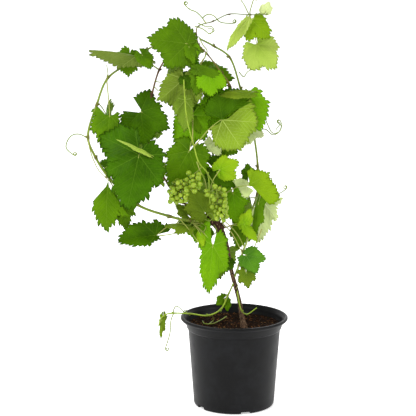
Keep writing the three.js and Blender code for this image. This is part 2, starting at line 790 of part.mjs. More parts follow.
        left: [0.5, 0.75, 0.5], right: [0.35, 0.25, 0.2],
      },
      { at: [15, 320, 10], tip: [6, 280, 10], face: [0, -1, 0.1], wide: 0.75 },
    ],
  },
  leaves_base_right: {
    on: "right",
    base: [12, 263, -12],
    leaves: [
      {
        at: [20, 268, -22], tip: [55, 261, -32], face: [0.1, -0.95, 0.25],
        left: [0.72, 0.3, 0.2], right: [1.1, 0.7, 0.2],
      },
      { at: [21, 236, -16], tip: [25, 208, -20], face: [0.1, -0.9, 0.4], wide: 0.9 },
    ],
  },
  leaves_base_centre: {
    on: "outer",
    base: [-80, 329, -15],
    leaves: [
      {
        at: [-35, 283, -36], tip: [-40, 202, -44], face: [0.05, -0.97, 0.2], wide: 0.6,
        left: [0.9, 0.6, 0.45], right: [0.75, 0.55, 0.5], notch: 145,
      },
      { at: [-53, 316, -24], tip: [-57, 291, -30], face: [-0.2, -0.9, 0.3], wide: 0.8 },
    ],
  },
  leaf_trunk: {
    on: "trunk",
    base: [-10, 262, 0],
    leaves: [
      { at: [-9, 256, -8], tip: [-15, 238, -12], face: front },
      { at: [-18, 270, 36], tip: [-26, 226, 64], face: [-0.5, 0.5, 0.6], curl: 0.5, wide: 0.7 },
    ],
  },
  leaves_basal: {
    on: "trailing",
    base: [-16, 184, -10],
    leaves: [
      { at: [-17, 184, -14], tip: [-24, 202, -16], face: [-0.2, -0.9, 0.2] },
      { at: [-12, 184, -4], tip: [-12, 166, -4], face: [0.2, -0.9, 0.2], wide: 0.6 },
    ],
  },
  leaves_top_right: {
    on: "main",
    base: [24, 685, -12],
    leaves: [
      {
        at: [23, 679, -26], tip: [-12, 627, -32], face: [-0.3, 0.9, 0.1], wide: 0.45,
        left: [0.18, 0.12, 0.1], right: [0.35, 0.3, 0.2],
      },
      {
        at: [26, 677, -14], tip: [57, 646, -18], face: [0.1, -0.9, 0.35], wide: 0.95,
        left: [0.65, 0.3, 0.15], right: [0.85, 0.5, 0.2],
      },
      {
        at: [40, 638, 0], tip: [66, 594, -8], face: [0.05, -0.95, 0.25], wide: 0.8,
        left: [0.8, 0.3, 0.1], right: [0.95, 0.68, 0.2],
      },
    ],
    tendrils: [
      [[25, 690, -12], [27, 698, -12], [32, 713, -10]],
      [[20, 692, -16], [15, 702, -18], [7, 713, -18]],
    ],
  },
  shoot_tip_top: {
    on: "main",
    base: [50, 686, -15],
    leaves: [
      { at: [52, 691, -16], tip: [57, 707, -19], face: [0.1, -0.9, 0.3] },
      { at: [47, 691, -10], tip: [44, 701, -8], face: [-0.2, -0.8, 0.3] },
    ],
  },
  shoot_tip_trailing: {
    on: "trailing",
    base: [-133, 144, 3],
    leaves: [
      { at: [-136, 136, 2], tip: [-137, 115, 0], face: [-0.5, -0.8, 0], wide: 0.45 },
      { at: [-131, 138, 6], tip: [-131, 120, 8], face: [0.5, -0.8, 0], wide: 0.45 },
    ],
  },
  tendrils_top: {
    on: "main",
    base: [-50, 670, -3],
    tendrils: [
      [[-58, 682, -4], [-67, 690, -4], [-77, 694, -4], [-86, 702, -4]],
      [[-55, 680, 4], [-46, 686, 6], [-36, 683, 8], [-26, 673, 10], [-2, 671, 14]],
    ],
  },
  tendril_left: {
    on: "outer",
    base: [-255, 474, -26],
    tendrils: [
      [[-268, 481, -28], [-280, 480, -32], [-289, 471, -36], [-292, 457, -38], [-279, 445, -38]],
    ],
  },
  tendril_trailing: {
    on: "trailing",
    base: [-106, 161, 0],
    tendrils: [
      [[-112, 150, -4], [-114, 127, -6], [-118, 112, -6], [-122, 99, -6]],
      [[-107, 170, 4], [-102, 176, 6], [-94, 170, 8], [-89, 165, 8]],
    ],
  },
};

const bunches = {
  bunch_left: {
    on: "inner", base: [-88, 361, 6], top: [-90, 401, -42], bottom: [-104, 364, -44],
    width: 38, berries: 16,
  },
  bunch_left_upper: {
    on: "centre", base: [-56, 425, -25], top: [-69, 416, -46], bottom: [-67, 394, -48],
    width: 28, berries: 7,
  },
  bunch_right: {
    on: "centre", base: [-47, 412, -23], top: [-36, 393, -46], bottom: [-23, 334, -48],
    width: 42, berries: 20,
  },
};

const colours = {
  pot: { color: 0x26272a, roughness: 0.55, metalness: 0 },
  soil: { color: 0x2b1d14, roughness: 1, metalness: 0 },
  bark: { color: 0x5a4336, roughness: 0.9, metalness: 0 },
  greenCane: { color: 0x7f8f3a, roughness: 0.6, metalness: 0 },
  brownCane: { color: 0x5f4a2c, roughness: 0.7, metalness: 0 },
  youngShoot: { color: 0xa6b84a, roughness: 0.55, metalness: 0 },
  leaf: { color: 0x4f8a1c, roughness: 0.5, metalness: 0 },
  youngLeaf: { color: 0x9cbc4a, roughness: 0.5, metalness: 0 },
  berry: { color: 0x9db84a, roughness: 0.35, metalness: 0 },
};
const caneColours = {
  outer: "greenCane",
  inner: "brownCane",
  main: "brownCane",
  right: "greenCane",
  centre: "youngShoot",
  trailing: "youngShoot",
  ground: "youngShoot",
};

const vine = new THREE.Group();
function addNode(name, solid, colour) {
  const mesh = new THREE.Mesh(
    geometryOf(largestPiece(solid)),
    new THREE.MeshStandardMaterial(colours[colour]),
  );
  mesh.name = name;
  vine.add(mesh);
}

addNode("pot", makePot(), "pot");
addNode("soil", makeSoil(), "soil");
addNode("trunk", makeTrunk(), "bark");

const grownTrunk = makeTrunk(clearance);
const grown = { trunk: grownTrunk };
for (const [name, cane] of Object.entries(canes)) grown[name] = wholeCane(cane, clearance);

for (const [name, cane] of Object.entries(canes)) {
  let from = 0;
  for (const [partName, to] of Object.entries(cane.parts)) {
    let part = canePart(cane, from, to);
    if (from === 0) part = part.subtract(grown[cane.root]);
    if (cane.tipOn && to === cane.bends.length - 1) part = part.subtract(grown[cane.tipOn]);
    addNode(partName, part, caneColours[name]);
    from = to;
  }
}

const allGrown = Object.values(grown);
let seed = 1;
for (const [name, spray] of Object.entries(sprays)) {
  const cut = allGrown.reduce((solid, limbSolid) => solid.subtract(limbSolid), makeSpray(spray, seed++));
  const isYoung = name.startsWith("shoot_tip") || name.startsWith("tendril");
  addNode(name, cut, isYoung || name === "leaves_top_right" ? "youngLeaf" : "leaf");
}
for (const [name, bunch] of Object.entries(bunches)) {
  const cut = allGrown.reduce((solid, limbSolid) => solid.subtract(limbSolid), makeBunch(bunch, seed++));
  addNode(name, cut, "berry");
}

export default vine;
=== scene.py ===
# A young fruiting grapevine in a nursery pot, dressed for looks. Sizes are read in millimetres
# and made in metres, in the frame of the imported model.
import math
from contextlib import contextmanager

import bmesh
import bpy
import numpy as np
from mathutils import Matrix, Vector, noise


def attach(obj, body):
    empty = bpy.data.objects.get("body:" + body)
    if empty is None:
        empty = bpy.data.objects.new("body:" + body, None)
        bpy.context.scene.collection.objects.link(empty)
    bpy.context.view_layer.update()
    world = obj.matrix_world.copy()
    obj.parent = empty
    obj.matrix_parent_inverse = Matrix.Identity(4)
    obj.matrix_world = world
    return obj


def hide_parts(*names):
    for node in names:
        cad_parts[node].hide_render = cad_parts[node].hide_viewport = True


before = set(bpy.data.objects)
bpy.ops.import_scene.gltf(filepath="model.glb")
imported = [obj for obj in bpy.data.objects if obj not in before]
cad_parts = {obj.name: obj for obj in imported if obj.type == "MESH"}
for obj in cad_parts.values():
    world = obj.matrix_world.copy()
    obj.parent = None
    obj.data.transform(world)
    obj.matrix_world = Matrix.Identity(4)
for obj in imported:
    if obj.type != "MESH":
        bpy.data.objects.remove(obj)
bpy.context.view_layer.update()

scene = bpy.context.scene
print("frame loaded")


# placing, numbers and curves
eye = Vector((-0.046, -2.080, 0.688))


def place(spot):
    # across and up are read on a front elevation at the pot's depth, then moved along the sight line
    across, up, depth = (v / 1000 for v in spot)
    onDrawing = Vector((across, 0.0, up)) - eye
    return eye + onDrawing * ((depth - eye.y) / -eye.y)


def seeded(seed):
    # a repeatable source of numbers from 0 to 1
    whole, stride, state = 2 ** 32, 0x6d2b79f5, seed

    def draw():
        nonlocal state
        state = (state + stride) % whole
        mixed = (state ^ (state >> 15)) * (state | 1) % whole
        mixed ^= (mixed + (mixed ^ (mixed >> 7)) * (mixed | 61) % whole) % whole
        return (mixed ^ (mixed >> 14)) / whole

    return draw


def between(draw, low, high):
    return low + (high - low) * draw()


def curvePoint(points, u):
    # a smooth curve through the points, by their own spacing
    last = len(points) - 1
    i = min(int(u * last), last - 1)
    w = u * last - i
    p1, p2 = points[i], points[i + 1]
    p0 = points[i - 1] if i > 0 else p1 * 2 - p2
    p3 = points[i + 2] if i + 2 <= last else p2 * 2 - p1
    d0, d1, d2 = (max((b - a).length ** 0.5, 1e-6) for a, b in ((p0, p1), (p1, p2), (p2, p3)))
    t1 = ((p1 - p0) / d0 - (p2 - p0) / (d0 + d1) + (p2 - p1) / d1) * d1
    t2 = ((p2 - p1) / d1 - (p3 - p1) / (d1 + d2) + (p3 - p2) / d2) * d1
    return p1 + t1 * w + (p2 * 3 - p1 * 3 - t1 * 2 - t2) * w ** 2 + (p1 * 2 - p2 * 2 + t1 + t2) * w ** 3


def curveRun(points, steps):
    return [curvePoint(points, i / steps) for i in range(steps + 1)]


def smoothStep(x):
    x = min(1.0, max(0.0, x))
    return x * x * (3 - 2 * x)


# meshes
def linked(name, data):
    obj = bpy.data.objects.new(name, data)
    scene.collection.objects.link(obj)
    return obj


def meshPiece(name, verts, faces, materials, materialOf=None):
    mesh = bpy.data.meshes.new(name)
    mesh.from_pydata([tuple(v) for v in verts], [], faces)
    for material in materials:
        mesh.materials.append(material)
    if materialOf is not None:
        mesh.polygons.foreach_set("material_index", materialOf)
    mesh.polygons.foreach_set("use_smooth", [True] * len(mesh.polygons))
    mesh.update()
    return linked(name, mesh)


@contextmanager
def editing(mesh):
    work = bmesh.new()
    work.from_mesh(mesh)
    yield work
    work.to_mesh(mesh)
    work.free()


def evaluatedMesh(obj):
    bpy.context.view_layer.update()
    return bpy.data.meshes.new_from_object(obj.evaluated_get(bpy.context.evaluated_depsgraph_get()))


def applyModifiers(obj):
    made, old = evaluatedMesh(obj), obj.data
    obj.modifiers.clear()
    obj.data = made
    bpy.data.meshes.remove(old)


def drop(obj):
    data = obj.data
    bpy.data.objects.remove(obj)
    bpy.data.meshes.remove(data)


def finish(obj, slotName, *nodes):
    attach(obj, "root")
    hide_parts(*nodes)
    print(f"  {obj.name}: {sum(len(p.vertices) - 2 for p in obj.data.polygons)} triangles")


def turned(name, rows, steps, material):
    # a closed shell turned about the pot's axis; a row is a radius and a height, or what gives the height
    verts, rings, faces = [], [], []
    for radius, height in rows:
        ring = range(len(verts), len(verts) + (steps if radius else 1))
        for j in range(len(ring)):
            angle = 2 * math.pi * j / steps
            x, y = radius * math.cos(angle), radius * math.sin(angle)
            verts.append(Vector((x, y, height(x, y) if callable(height) else height)) / 1000)
        rings.append(ring)
    for low, high in zip(rings, rings[1:]):
        for j in range(steps):
            k = (j + 1) % steps
            if len(low) == 1:
                faces.append((low[0], high[k], high[j]))
            elif len(high) == 1:
                faces.append((low[j], low[k], high[0]))
            else:
                faces.append((low[j], low[k], high[k], high[j]))
    return meshPiece(name, verts, faces, [material])


def newHeap():
    return {"verts": [], "faces": [], "uvs": []}


def addTube(heap, centres, radii, sides, relief=None):
    # a closed round tube; its sides turn as little as they can, and relief(angle, i) scales its radius
    start, last = len(heap["verts"]), len(centres) - 1
    normal, aheads = Vector((0.3, -1.0, 0.2)), []
    for i, (centre, radius) in enumerate(zip(centres, radii)):
        ahead = (centres[min(i + 1, last)] - centres[max(i - 1, 0)]).normalized()
        normal = (normal - ahead * normal.dot(ahead)).normalized()
        side = ahead.cross(normal)
        aheads.append(ahead)
        for j in range(sides):
            angle = 2 * math.pi * j / sides
            r = radius * (relief(angle, i) if relief else 1.0)
            heap["verts"].append(centre + normal * (r * math.cos(angle)) + side * (r * math.sin(angle)))
            heap["uvs"].append((j / sides, i / 100))
    for i in range(last):
        for j in range(sides):
            a, b = start + i * sides + j, start + i * sides + (j + 1) % sides
            heap["faces"].append((a, b, b + sides, a + sides))
    for ring, way in ((0, -1), (last, 1)):
        tip = len(heap["verts"])
        heap["verts"].append(centres[ring] + aheads[ring] * (way * radii[ring] * 0.5))
        heap["uvs"].append((0.5, ring / 100))
        for j in range(sides):
            a, b = start + ring * sides + j, start + ring * sides + (j + 1) % sides
            heap["faces"].append((b, a, tip) if way < 0 else (a, b, tip))


# node trees: near is the tree, or any node or socket in it
def feed(node, inputs):
    # links a socket, or a node's first output, and sets any other value
    for key, value in inputs.items():
        if isinstance(value, bpy.types.Node):
            value = value.outputs[0]
        if isinstance(value, bpy.types.NodeSocket):
            node.id_data.links.new(value, node.inputs[key])
        else:
            node.inputs[key].default_value = value
    return node


def addNode(near, kind, inputs=None, **settings):
    node = near.id_data.nodes.new(kind)
    for key, value in settings.items():
        setattr(node, key, value)
    return feed(node, inputs or {})


def maths(operation, *values, clamp=False):
    near = next(v for v in values if hasattr(v, "id_data"))
    node = addNode(near, "ShaderNodeMath", dict(enumerate(values)), operation=operation, use_clamp=clamp)
    return node.outputs[0]


def times(first, second):
    return maths("MULTIPLY", first, second)


def span(value, low, high, toLow=0.0, toHigh=1.0, smooth=True):
    return addNode(value, "ShaderNodeMapRange",
                   {"Value": value, "From Min": low, "From Max": high, "To Min": toLow, "To Max": toHigh},
                   interpolation_type="SMOOTHSTEP" if smooth else "LINEAR").outputs[0]


def blend(amount, first, second):
    return addNode(amount, "ShaderNodeMix", {0: amount, 6: first, 7: second}, data_type="RGBA").outputs[2]


def clouds(spot, scale, detail, roughness=0.5):
    return addNode(spot, "ShaderNodeTexNoise",
                   {"Vector": spot, "Scale": scale, "Detail": detail, "Roughness": roughness}).outputs[0]


def cellEdges(spot, scale, width):
    # lines of this width between cells
    cells = addNode(spot, "ShaderNodeTexVoronoi", {"Vector": spot, "Scale": scale},
                    feature="DISTANCE_TO_EDGE")
    return span(cells, *width, 1.0, 0.0)


def heightOf(spot):
    return addNode(spot, "ShaderNodeSeparateXYZ", {"Vector": spot}).outputs["Z"]


def newGroup(name, inputs, outputs):
    # an input is given by its usual value or by its kind
    geometry = "Geometry" in outputs
    tree = bpy.data.node_groups.new(name, "GeometryNodeTree" if geometry else "ShaderNodeTree")
    for label, usual in inputs.items():
        kind = {float: "Float", int: "Int", tuple: "Vector", str: usual}[type(usual)]
        socket = tree.interface.new_socket(label, in_out="INPUT", socket_type=f"NodeSocket{kind}")
        if usual != kind:
            socket.default_value = usual
    for label, kind in outputs.items():
        tree.interface.new_socket(label, in_out="OUTPUT", socket_type=f"NodeSocket{kind}")
    return tree, tree.nodes.new("NodeGroupInput").outputs, tree.nodes.new("NodeGroupOutput")


def useGroup(group, inputs):
    return addNode(inputs["Vector"], "ShaderNodeGroup", inputs, node_tree=group).outputs


def makeMottle():
    # soft patches of a second colour, with finer ones inside them
    tree, given, made = newGroup(
        "mottle", {"Vector": "Vector", "Scale": 40.0, "Amount": 0.5, "First": "Color", "Second": "Color"},
        {"Color": "Color", "Mask": "Float"})
    mask = times(span(clouds(given["Vector"], given["Scale"], 4.0, 0.6), 0.36, 0.66), given["Amount"])
    feed(made, {"Color": blend(mask, given["First"], given["Second"]), "Mask": mask})
    return tree


ribSpacing = 52  # degrees between a leaf's ribs, and so between its lobes


def makeVeins():
    # a vine leaf's veins on its own plane: five ribs from the stalk, side veins and a fine net
    tree, given, made = newGroup(
        "leafVeins", {"Vector": "Vector", "Rib width": 0.014, "Side veins": 8.0, "Net": 26.0},
        {"Veins": "Float", "Swell": "Float", "Out": "Float", "Height": "Float"})
    a, b, _ = addNode(tree, "ShaderNodeSeparateXYZ", {"Vector": given["Vector"]}).outputs
    angle, sector = maths("ARCTAN2", b, a), math.radians(ribSpacing)
    offRib = maths("SUBTRACT", angle, times(maths("ROUND", maths("DIVIDE", angle, sector)), sector))
    out = maths("SQRT", maths("ADD", times(a, a), times(b, b)))
    along, aside = times(out, maths("COSINE", offRib)), times(out, maths("SINE", offRib))
    away = maths("ABSOLUTE", aside)
    width = times(given["Rib width"], span(along, 0.0, 1.0, 1.0, 0.25, smooth=False))
    rib = span(maths("DIVIDE", away, width), 0.35, 1.0, 1.0, 0.0)
    flip = times(maths("GREATER_THAN", aside, 0.0), 0.5)
    forward = maths("SUBTRACT", along, times(maths("POWER", away, 0.92), 0.85))
    gap = maths("PINGPONG", maths("ADD", times(forward, given["Side veins"]), flip), 0.5)
    sideVein = times(span(gap, 0.02, 0.07, 1.0, 0.0), span(forward, 0.02, 0.1, smooth=False))
    net = cellEdges(given["Vector"], given["Net"], (0.0, 0.12))
    veins = maths("MAXIMUM", maths("MAXIMUM", rib, times(sideVein, 0.65)), times(net, 0.25), clamp=True)
    swell = times(span(gap, 0.03, 0.38), span(away, 0.0, 0.06))
    height = maths("SUBTRACT", swell, times(veins, 0.5))
    feed(made, {"Veins": veins, "Swell": swell, "Out": out, "Height": height})
    return tree


def makeFibre():
    # long strips and cracks that run up a stem
    tree, given, made = newGroup(
        "fibre", {"Vector": "Vector", "Scale": 300.0, "Stretch": 0.12},
        {"Strips": "Float", "Cracks": "Float", "Height": "Float"})
    squeeze = addNode(tree, "ShaderNodeCombineXYZ", {"X": 1.0, "Y": 1.0, "Z": given["Stretch"]})
    spot = addNode(tree, "ShaderNodeVectorMath", {0: given["Vector"], 1: squeeze}, operation="MULTIPLY")
    strips = clouds(spot, given["Scale"], 6.0, 0.62)
    cracks = cellEdges(spot, given["Scale"], (0.02, 0.16))
    height = maths("SUBTRACT", strips, times(cracks, 0.6))
    feed(made, {"Strips": strips, "Cracks": cracks, "Height": height})
    return tree


def makeGrain():
    # the fine leathery grain of moulded plastic, and scuffs that catch the light
    tree, given, made = newGroup("grain", {"Vector": "Vector", "Scale": 900.0, "Scuff scale": 30.0},
                                 {"Scuffs": "Float", "Height": "Float"})
    scuffs = span(clouds(given["Vector"], given["Scuff scale"], 8.0, 0.7), 0.42, 0.72)
    feed(made, {"Scuffs": scuffs, "Height": clouds(given["Vector"], given["Scale"], 2.0)})
    return tree


mottle, leafVeins, fibre, grain = makeMottle(), makeVeins(), makeFibre(), makeGrain()


def colour(shown):
    # a colour as it shows, from 0 to 255, turned to the linear one that a shader reads
    return tuple(((v / 255 + 0.055) / 1.055) ** 2.4 if v > 10 else v / 255 / 12.92 for v in shown) + (1.0,)


def mottled(spot, scale, amount, first, second):
    return useGroup(mottle, {"Vector": spot, "Scale": scale, "Amount": amount,
                             "First": colour(first), "Second": colour(second)})["Color"]


def newMaterial(name, roughness=0.5, specular=0.2, **sockets):
    # a material with its shader, and the place on the piece that its patterns follow
    material = bpy.data.materials.new(name)
    material.use_nodes = True
    tree = material.node_tree
    tree.nodes.clear()
    shader = addNode(tree, "ShaderNodeBsdfPrincipled", {
        "Roughness": roughness, "Specular IOR Level": specular,
        **{key.replace("_", " "): value for key, value in sockets.items()}})
    addNode(tree, "ShaderNodeOutputMaterial", {"Surface": shader})
    return material, shader, tree.nodes.new("ShaderNodeTexCoord").outputs["Object"]


def bump(shader, height, strength, distance, invert=False):
    node = addNode(shader, "ShaderNodeBump", {"Height": height, "Strength": strength, "Distance": distance},
                   invert=invert)
    feed(shader, {"Normal": node})


print("node groups made")


# pot
potForm = dict(
    rimRadius=95, height=159, baseRadius=71.5, wall=2, lipDepth=6.5, lipRound=3, collarRadius=87,
    collarFootRadius=84, collarDepth=21, bodyTopRadius=81.5, steps=144, crispAngle=32,
    drainCount=5, drainWidth=18, drainDepth=22, drainHeight=5, drainFirst=-74, drainRound=1.2,
    plain=(9, 9, 10), scuffed=(22, 23, 25), roughness=(0.40, 0.56), grainScale=1100.0, scuffScale=34.0,
    grainBump=(0.25, 0.0002),  # strength, and depth in metres
)


def potProfile():
    # up the outer side from the axis, over the rolled lip and down the inner side
    p = potForm
    base, body, wall = p["baseRadius"], p["bodyTopRadius"], p["wall"]
    foot, collar, rim, curl = p["collarFootRadius"], p["collarRadius"], p["rimRadius"], p["lipRound"]
    top = p["height"]
    step, under = top - p["collarDepth"], top - p["lipDepth"]
    turns = [math.radians(-25 + 205 * i / 8) for i in range(9)]
    return [
        (0, 1.2), (base - 12, 1.2), (base - 11, 0), (base - 3, 0), (base - 1, 0.7), (base, 2.6),
        (base + 0.5, 9), (body - 0.3, step - 5), (body, step - 1.6), (body + 1.0, step - 0.4),
        (foot - 0.7, step + 0.1), (foot, step + 1.3), (collar - 0.4, under - 3),
        (collar + 0.4, under - 1.2), (rim - 2.2, under + 0.1),
        *((rim - curl + curl * math.cos(turn), top - curl + curl * math.sin(turn)) for turn in turns),
        (collar + 2.0, top - 2.2), (collar - wall + 0.6, under + 0.6), (collar - wall, under - 2),
        (foot - wall, step + 2), (body - wall, step - 1), (base - wall, wall + 2.2), (0, wall + 2.2),
    ]


def cutDrains(pot):
    p = potForm
    mesh = bpy.data.meshes.new("drainCutters")
    size = (p["drainDepth"] / 1000, p["drainWidth"] / 1000, p["drainHeight"] / 500)
    with editing(mesh) as work:
        for i in range(p["drainCount"]):
            turn = math.radians(p["drainFirst"] + 360 / p["drainCount"] * i)
            made = bmesh.ops.create_cube(work, size=1.0)["verts"]
            bmesh.ops.scale(work, vec=size, verts=made)
            bmesh.ops.translate(work, vec=(p["baseRadius"] / 1000, 0, 0), verts=made)
            bmesh.ops.rotate(work, cent=(0, 0, 0), matrix=Matrix.Rotation(turn, 3, "Z"), verts=made)
        level = [e for e in work.edges if abs((e.verts[0].co - e.verts[1].co).z) < 1e-4]
        bmesh.ops.bevel(work, geom=level, offset=p["drainRound"] / 1000, segments=3, affect="EDGES",
                        profile=0.5)
    cutter = linked("drainCutters", mesh)
    cut = pot.modifiers.new("drains", "BOOLEAN")
    cut.object, cut.operation, cut.solver = cutter, "DIFFERENCE", "EXACT"
    applyModifiers(pot)
    drop(cutter)


def makePotMaterial():
    p = potForm
    material, shader, spot = newMaterial("potPlastic", specular=0.15)
    marks = useGroup(grain, {"Vector": spot, "Scale": p["grainScale"], "Scuff scale": p["scuffScale"]})
    feed(shader, {"Base Color": blend(marks["Scuffs"], colour(p["plain"]), colour(p["scuffed"])),
                  "Roughness": span(marks["Scuffs"], 0.0, 1.0, *p["roughness"], smooth=False)})
    bump(shader, marks["Height"], *p["grainBump"])
    return material


pot = turned("pot_shell", potProfile(), potForm["steps"], makePotMaterial())
cutDrains(pot)
with editing(pot.data) as work:
    # a turned edge stays crisp where faces meet at more than this angle
    for face in work.faces:
        face.smooth = True
    for edge in work.edges:
        edge.smooth = not edge.is_manifold or edge.calc_face_angle(0) < math.radians(potForm["crispAngle"])
finish(pot, "pot", "pot")
print("pot made")


# compost
compostForm = dict(
    level=141, edgeLevel=144, plateau=34, slope=45, lumpScale=60, lumpHeight=1.3, calmFrom=8, calmTo=28,
    foot=6, rings=44, steps=150, stemHole=(0.0175, -0.012, 0.006), strewGrid=60, bitRoom=2.4,
    dark=((18, 12, 8), (34, 22, 14)), patchScale=260.0, bitPatchScale=320.0, grainScale=1500.0,
    grainBump=(0.6, 0.0006), raggedScale=700.0,
)
# what lies on it: two colours, how many to the square metre, seed, smallest and largest size in metres,
# how high it lies, how far it tilts and how ragged it is
strewn = {
    "compostCrumb": ((24, 16, 10), (44, 30, 19), 120000.0, 3, (0.0010, 0.0010, 0.0008),
                     (0.0036, 0.0030, 0.0024), 0.0002, 0.9, 0.0011),
    "barkChip": ((74, 46, 26), (116, 76, 42), 4200.0, 8, (0.0022, 0.0012, 0.0006),
                 (0.0075, 0.0034, 0.0014), 0.0009, 0.45, 0.0014),
    "darkChip": ((36, 22, 13), (60, 36, 20), 22000.0, 21, (0.0022, 0.0014, 0.0006),
                 (0.0072, 0.0040, 0.0018), 0.0007, 0.5, 0.0014),
    "paleFibre": ((128, 92, 54), (172, 132, 84), 5200.0, 34, (0.003, 0.0003, 0.0003),
                  (0.0105, 0.0006, 0.0006), 0.0011, 0.35, 0.0012),
}


def compostHeight(x, y):
    # metres, from the drawn levels and lumps of several sizes
    c = compostForm
    r = math.hypot(x, y) * 1000
    rise = smoothStep((r - c["plateau"]) / c["slope"]) * (c["edgeLevel"] - c["level"])
    spot = Vector((x * c["lumpScale"], y * c["lumpScale"], 0.0))
    lumps = noise.fractal(spot, 0.8, 2.2, 5) * c["lumpHeight"]
    calm = smoothStep((r - c["calmFrom"]) / (c["calmTo"] - c["calmFrom"]))
    return (c["level"] + rise * 0.9 + lumps * (0.4 + 0.6 * calm) - 0.4) / 1000


def compostProfile():
    # a plain body that stays inside the pot's wall, under a lumpy top
    p, c = potForm, compostForm
    edge = p["collarFootRadius"] - p["wall"] + 1.6
    step = p["height"] - p["collarDepth"]

    def top(x, y):
        return compostHeight(x / 1000, y / 1000) * 1000

    return [(0, c["foot"]), (p["baseRadius"] - 3, c["foot"]), (p["bodyTopRadius"] - 2.3, step - 1),
            *((edge * i / c["rings"], top) for i in range(c["rings"], -1, -1))]


def makeCompostMaterial(name, first, second, scale):
    material, shader, spot = newMaterial(name, roughness=0.95, specular=0.05)
    feed(shader, {"Base Color": mottled(spot, scale, 1.0, first, second)})
    bump(shader, clouds(spot, compostForm["grainScale"], 4.0), *compostForm["grainBump"])
    return material


def makeScatterTree():
    # strews small lumps over a surface: each a rough stone, chip or fibre by its three sizes
    tree, given, made = newGroup(
        "strewBits",
        {"Geometry": "Geometry", "Density": 1000.0, "Seed": 1, "Smallest": (0.001, 0.001, 0.001),
         "Largest": (0.002, 0.002, 0.002), "Lift": 0.0003, "Tilt": 0.5, "Ragged": 0.0005,
         "Finish": "Material"},
        {"Geometry": "Geometry"})
    spread = addNode(tree, "GeometryNodeDistributePointsOnFaces",
                     {"Mesh": given["Geometry"], "Density": given["Density"], "Seed": given["Seed"]})
    lump = addNode(tree, "GeometryNodeMeshIcoSphere", {"Radius": 0.5, "Subdivisions": 1})
    tilt, back, half = given["Tilt"], times(given["Tilt"], -1.0), 3.1416
    tiltLow = addNode(tree, "ShaderNodeCombineXYZ", {"X": back, "Y": back, "Z": -half})
    tiltHigh = addNode(tree, "ShaderNodeCombineXYZ", {"X": tilt, "Y": tilt, "Z": half})
    size, turn = (
        addNode(tree, "FunctionNodeRandomValue", {0: low, 1: high, "Seed": seed}, data_type="FLOAT_VECTOR")
        for low, high, seed in ((given["Smallest"], given["Largest"], given["Seed"]),
                                (tiltLow, tiltHigh, maths("ADD", given["Seed"], 7.0))))
    placed = addNode(tree, "GeometryNodeInstanceOnPoints",
                     {"Points": spread, "Instance": lump, "Rotation": turn, "Scale": size})
    real = addNode(tree, "GeometryNodeRealizeInstances", {"Geometry": placed})
    rough = addNode(tree, "ShaderNodeTexNoise", {"Scale": compostForm["raggedScale"], "Detail": 2.0})
    centred = addNode(tree, "ShaderNodeVectorMath", {0: rough.outputs["Color"], 1: (0.5, 0.5, 0.5)},
                      operation="SUBTRACT")
    shove = addNode(tree, "ShaderNodeVectorMath", {0: centred, "Scale": given["Ragged"]}, operation="SCALE")
    raised = addNode(tree, "ShaderNodeCombineXYZ", {"Z": given["Lift"]})
    both = addNode(tree, "ShaderNodeVectorMath", {0: shove, 1: raised}, operation="ADD")
    moved = addNode(tree, "GeometryNodeSetPosition", {"Geometry": real, "Offset": both})
    dressed = addNode(tree, "GeometryNodeSetMaterial", {"Geometry": moved, "Material": given["Finish"]})
    feed(made, {"Geometry": dressed})
    return tree


def runTree(obj, tree, values):
    # the tree's result on this object, as a plain mesh of its own
    step = obj.modifiers.new(tree.name, "NODES")
    step.node_group = tree
    for item in tree.interface.items_tree:
        if item.in_out == "INPUT" and item.name in values:
            step[item.identifier] = values[item.name]
    made = evaluatedMesh(obj)
    obj.modifiers.remove(step)
    return made


def joined(name, meshes):
    # several meshes as one piece, each keeping its own materials
    whole = bpy.data.meshes.new(name)
    with editing(whole) as work:
        for mesh in meshes:
            before = len(work.faces)
            work.from_mesh(mesh)
            work.faces.ensure_lookup_table()
            for face in work.faces[before:]:
                face.material_index += len(whole.materials)
                face.smooth = False
            for material in mesh.materials:
                whole.materials.append(material)
    for mesh in meshes:
        bpy.data.meshes.remove(mesh)
    return linked(name, whole)


def makeStrewGround():
    # the part of the bed that shows, to strew on: short of the wall by the largest bit's half
    n = compostForm["strewGrid"]
    limit = (potForm["collarFootRadius"] - potForm["wall"] - compostForm["bitRoom"]) / 1000
    holeX, holeY, holeRadius = compostForm["stemHole"]
    verts, index, faces = [], {}, []
    for i in range(n + 1):
        for j in range(n + 1):
            x, y = (i / n * 2 - 1) * limit, (j / n * 2 - 1) * limit
            if math.hypot(x, y) < limit and math.hypot(x - holeX, y - holeY) > holeRadius:
                index[i, j] = len(verts)
                verts.append(Vector((x, y, compostHeight(x, y))))
    for i in range(n):
        for j in range(n):
            square = [(i, j), (i + 1, j), (i + 1, j + 1), (i, j + 1)]
            if all(s in index for s in square):
                faces.append(tuple(index[s] for s in square))
    return meshPiece("strewGround", verts, faces, [])


darkEarth = makeCompostMaterial("compostDark", *compostForm["dark"], compostForm["patchScale"])
finish(turned("compost_bed", compostProfile(), compostForm["steps"], darkEarth), "compost", "soil")
strewGround = makeStrewGround()
strewTree = makeScatterTree()
bits = []
for name, (first, second, *values) in strewn.items():
    values = dict(zip(("Density", "Seed", "Smallest", "Largest", "Lift", "Tilt", "Ragged"), values))
    values["Finish"] = makeCompostMaterial(name, first, second, compostForm["bitPatchScale"])
    bits.append(runTree(strewGround, strewTree, values))
drop(strewGround)
finish(joined("compost_bits", bits), "compost", "soil")
print("compost made")


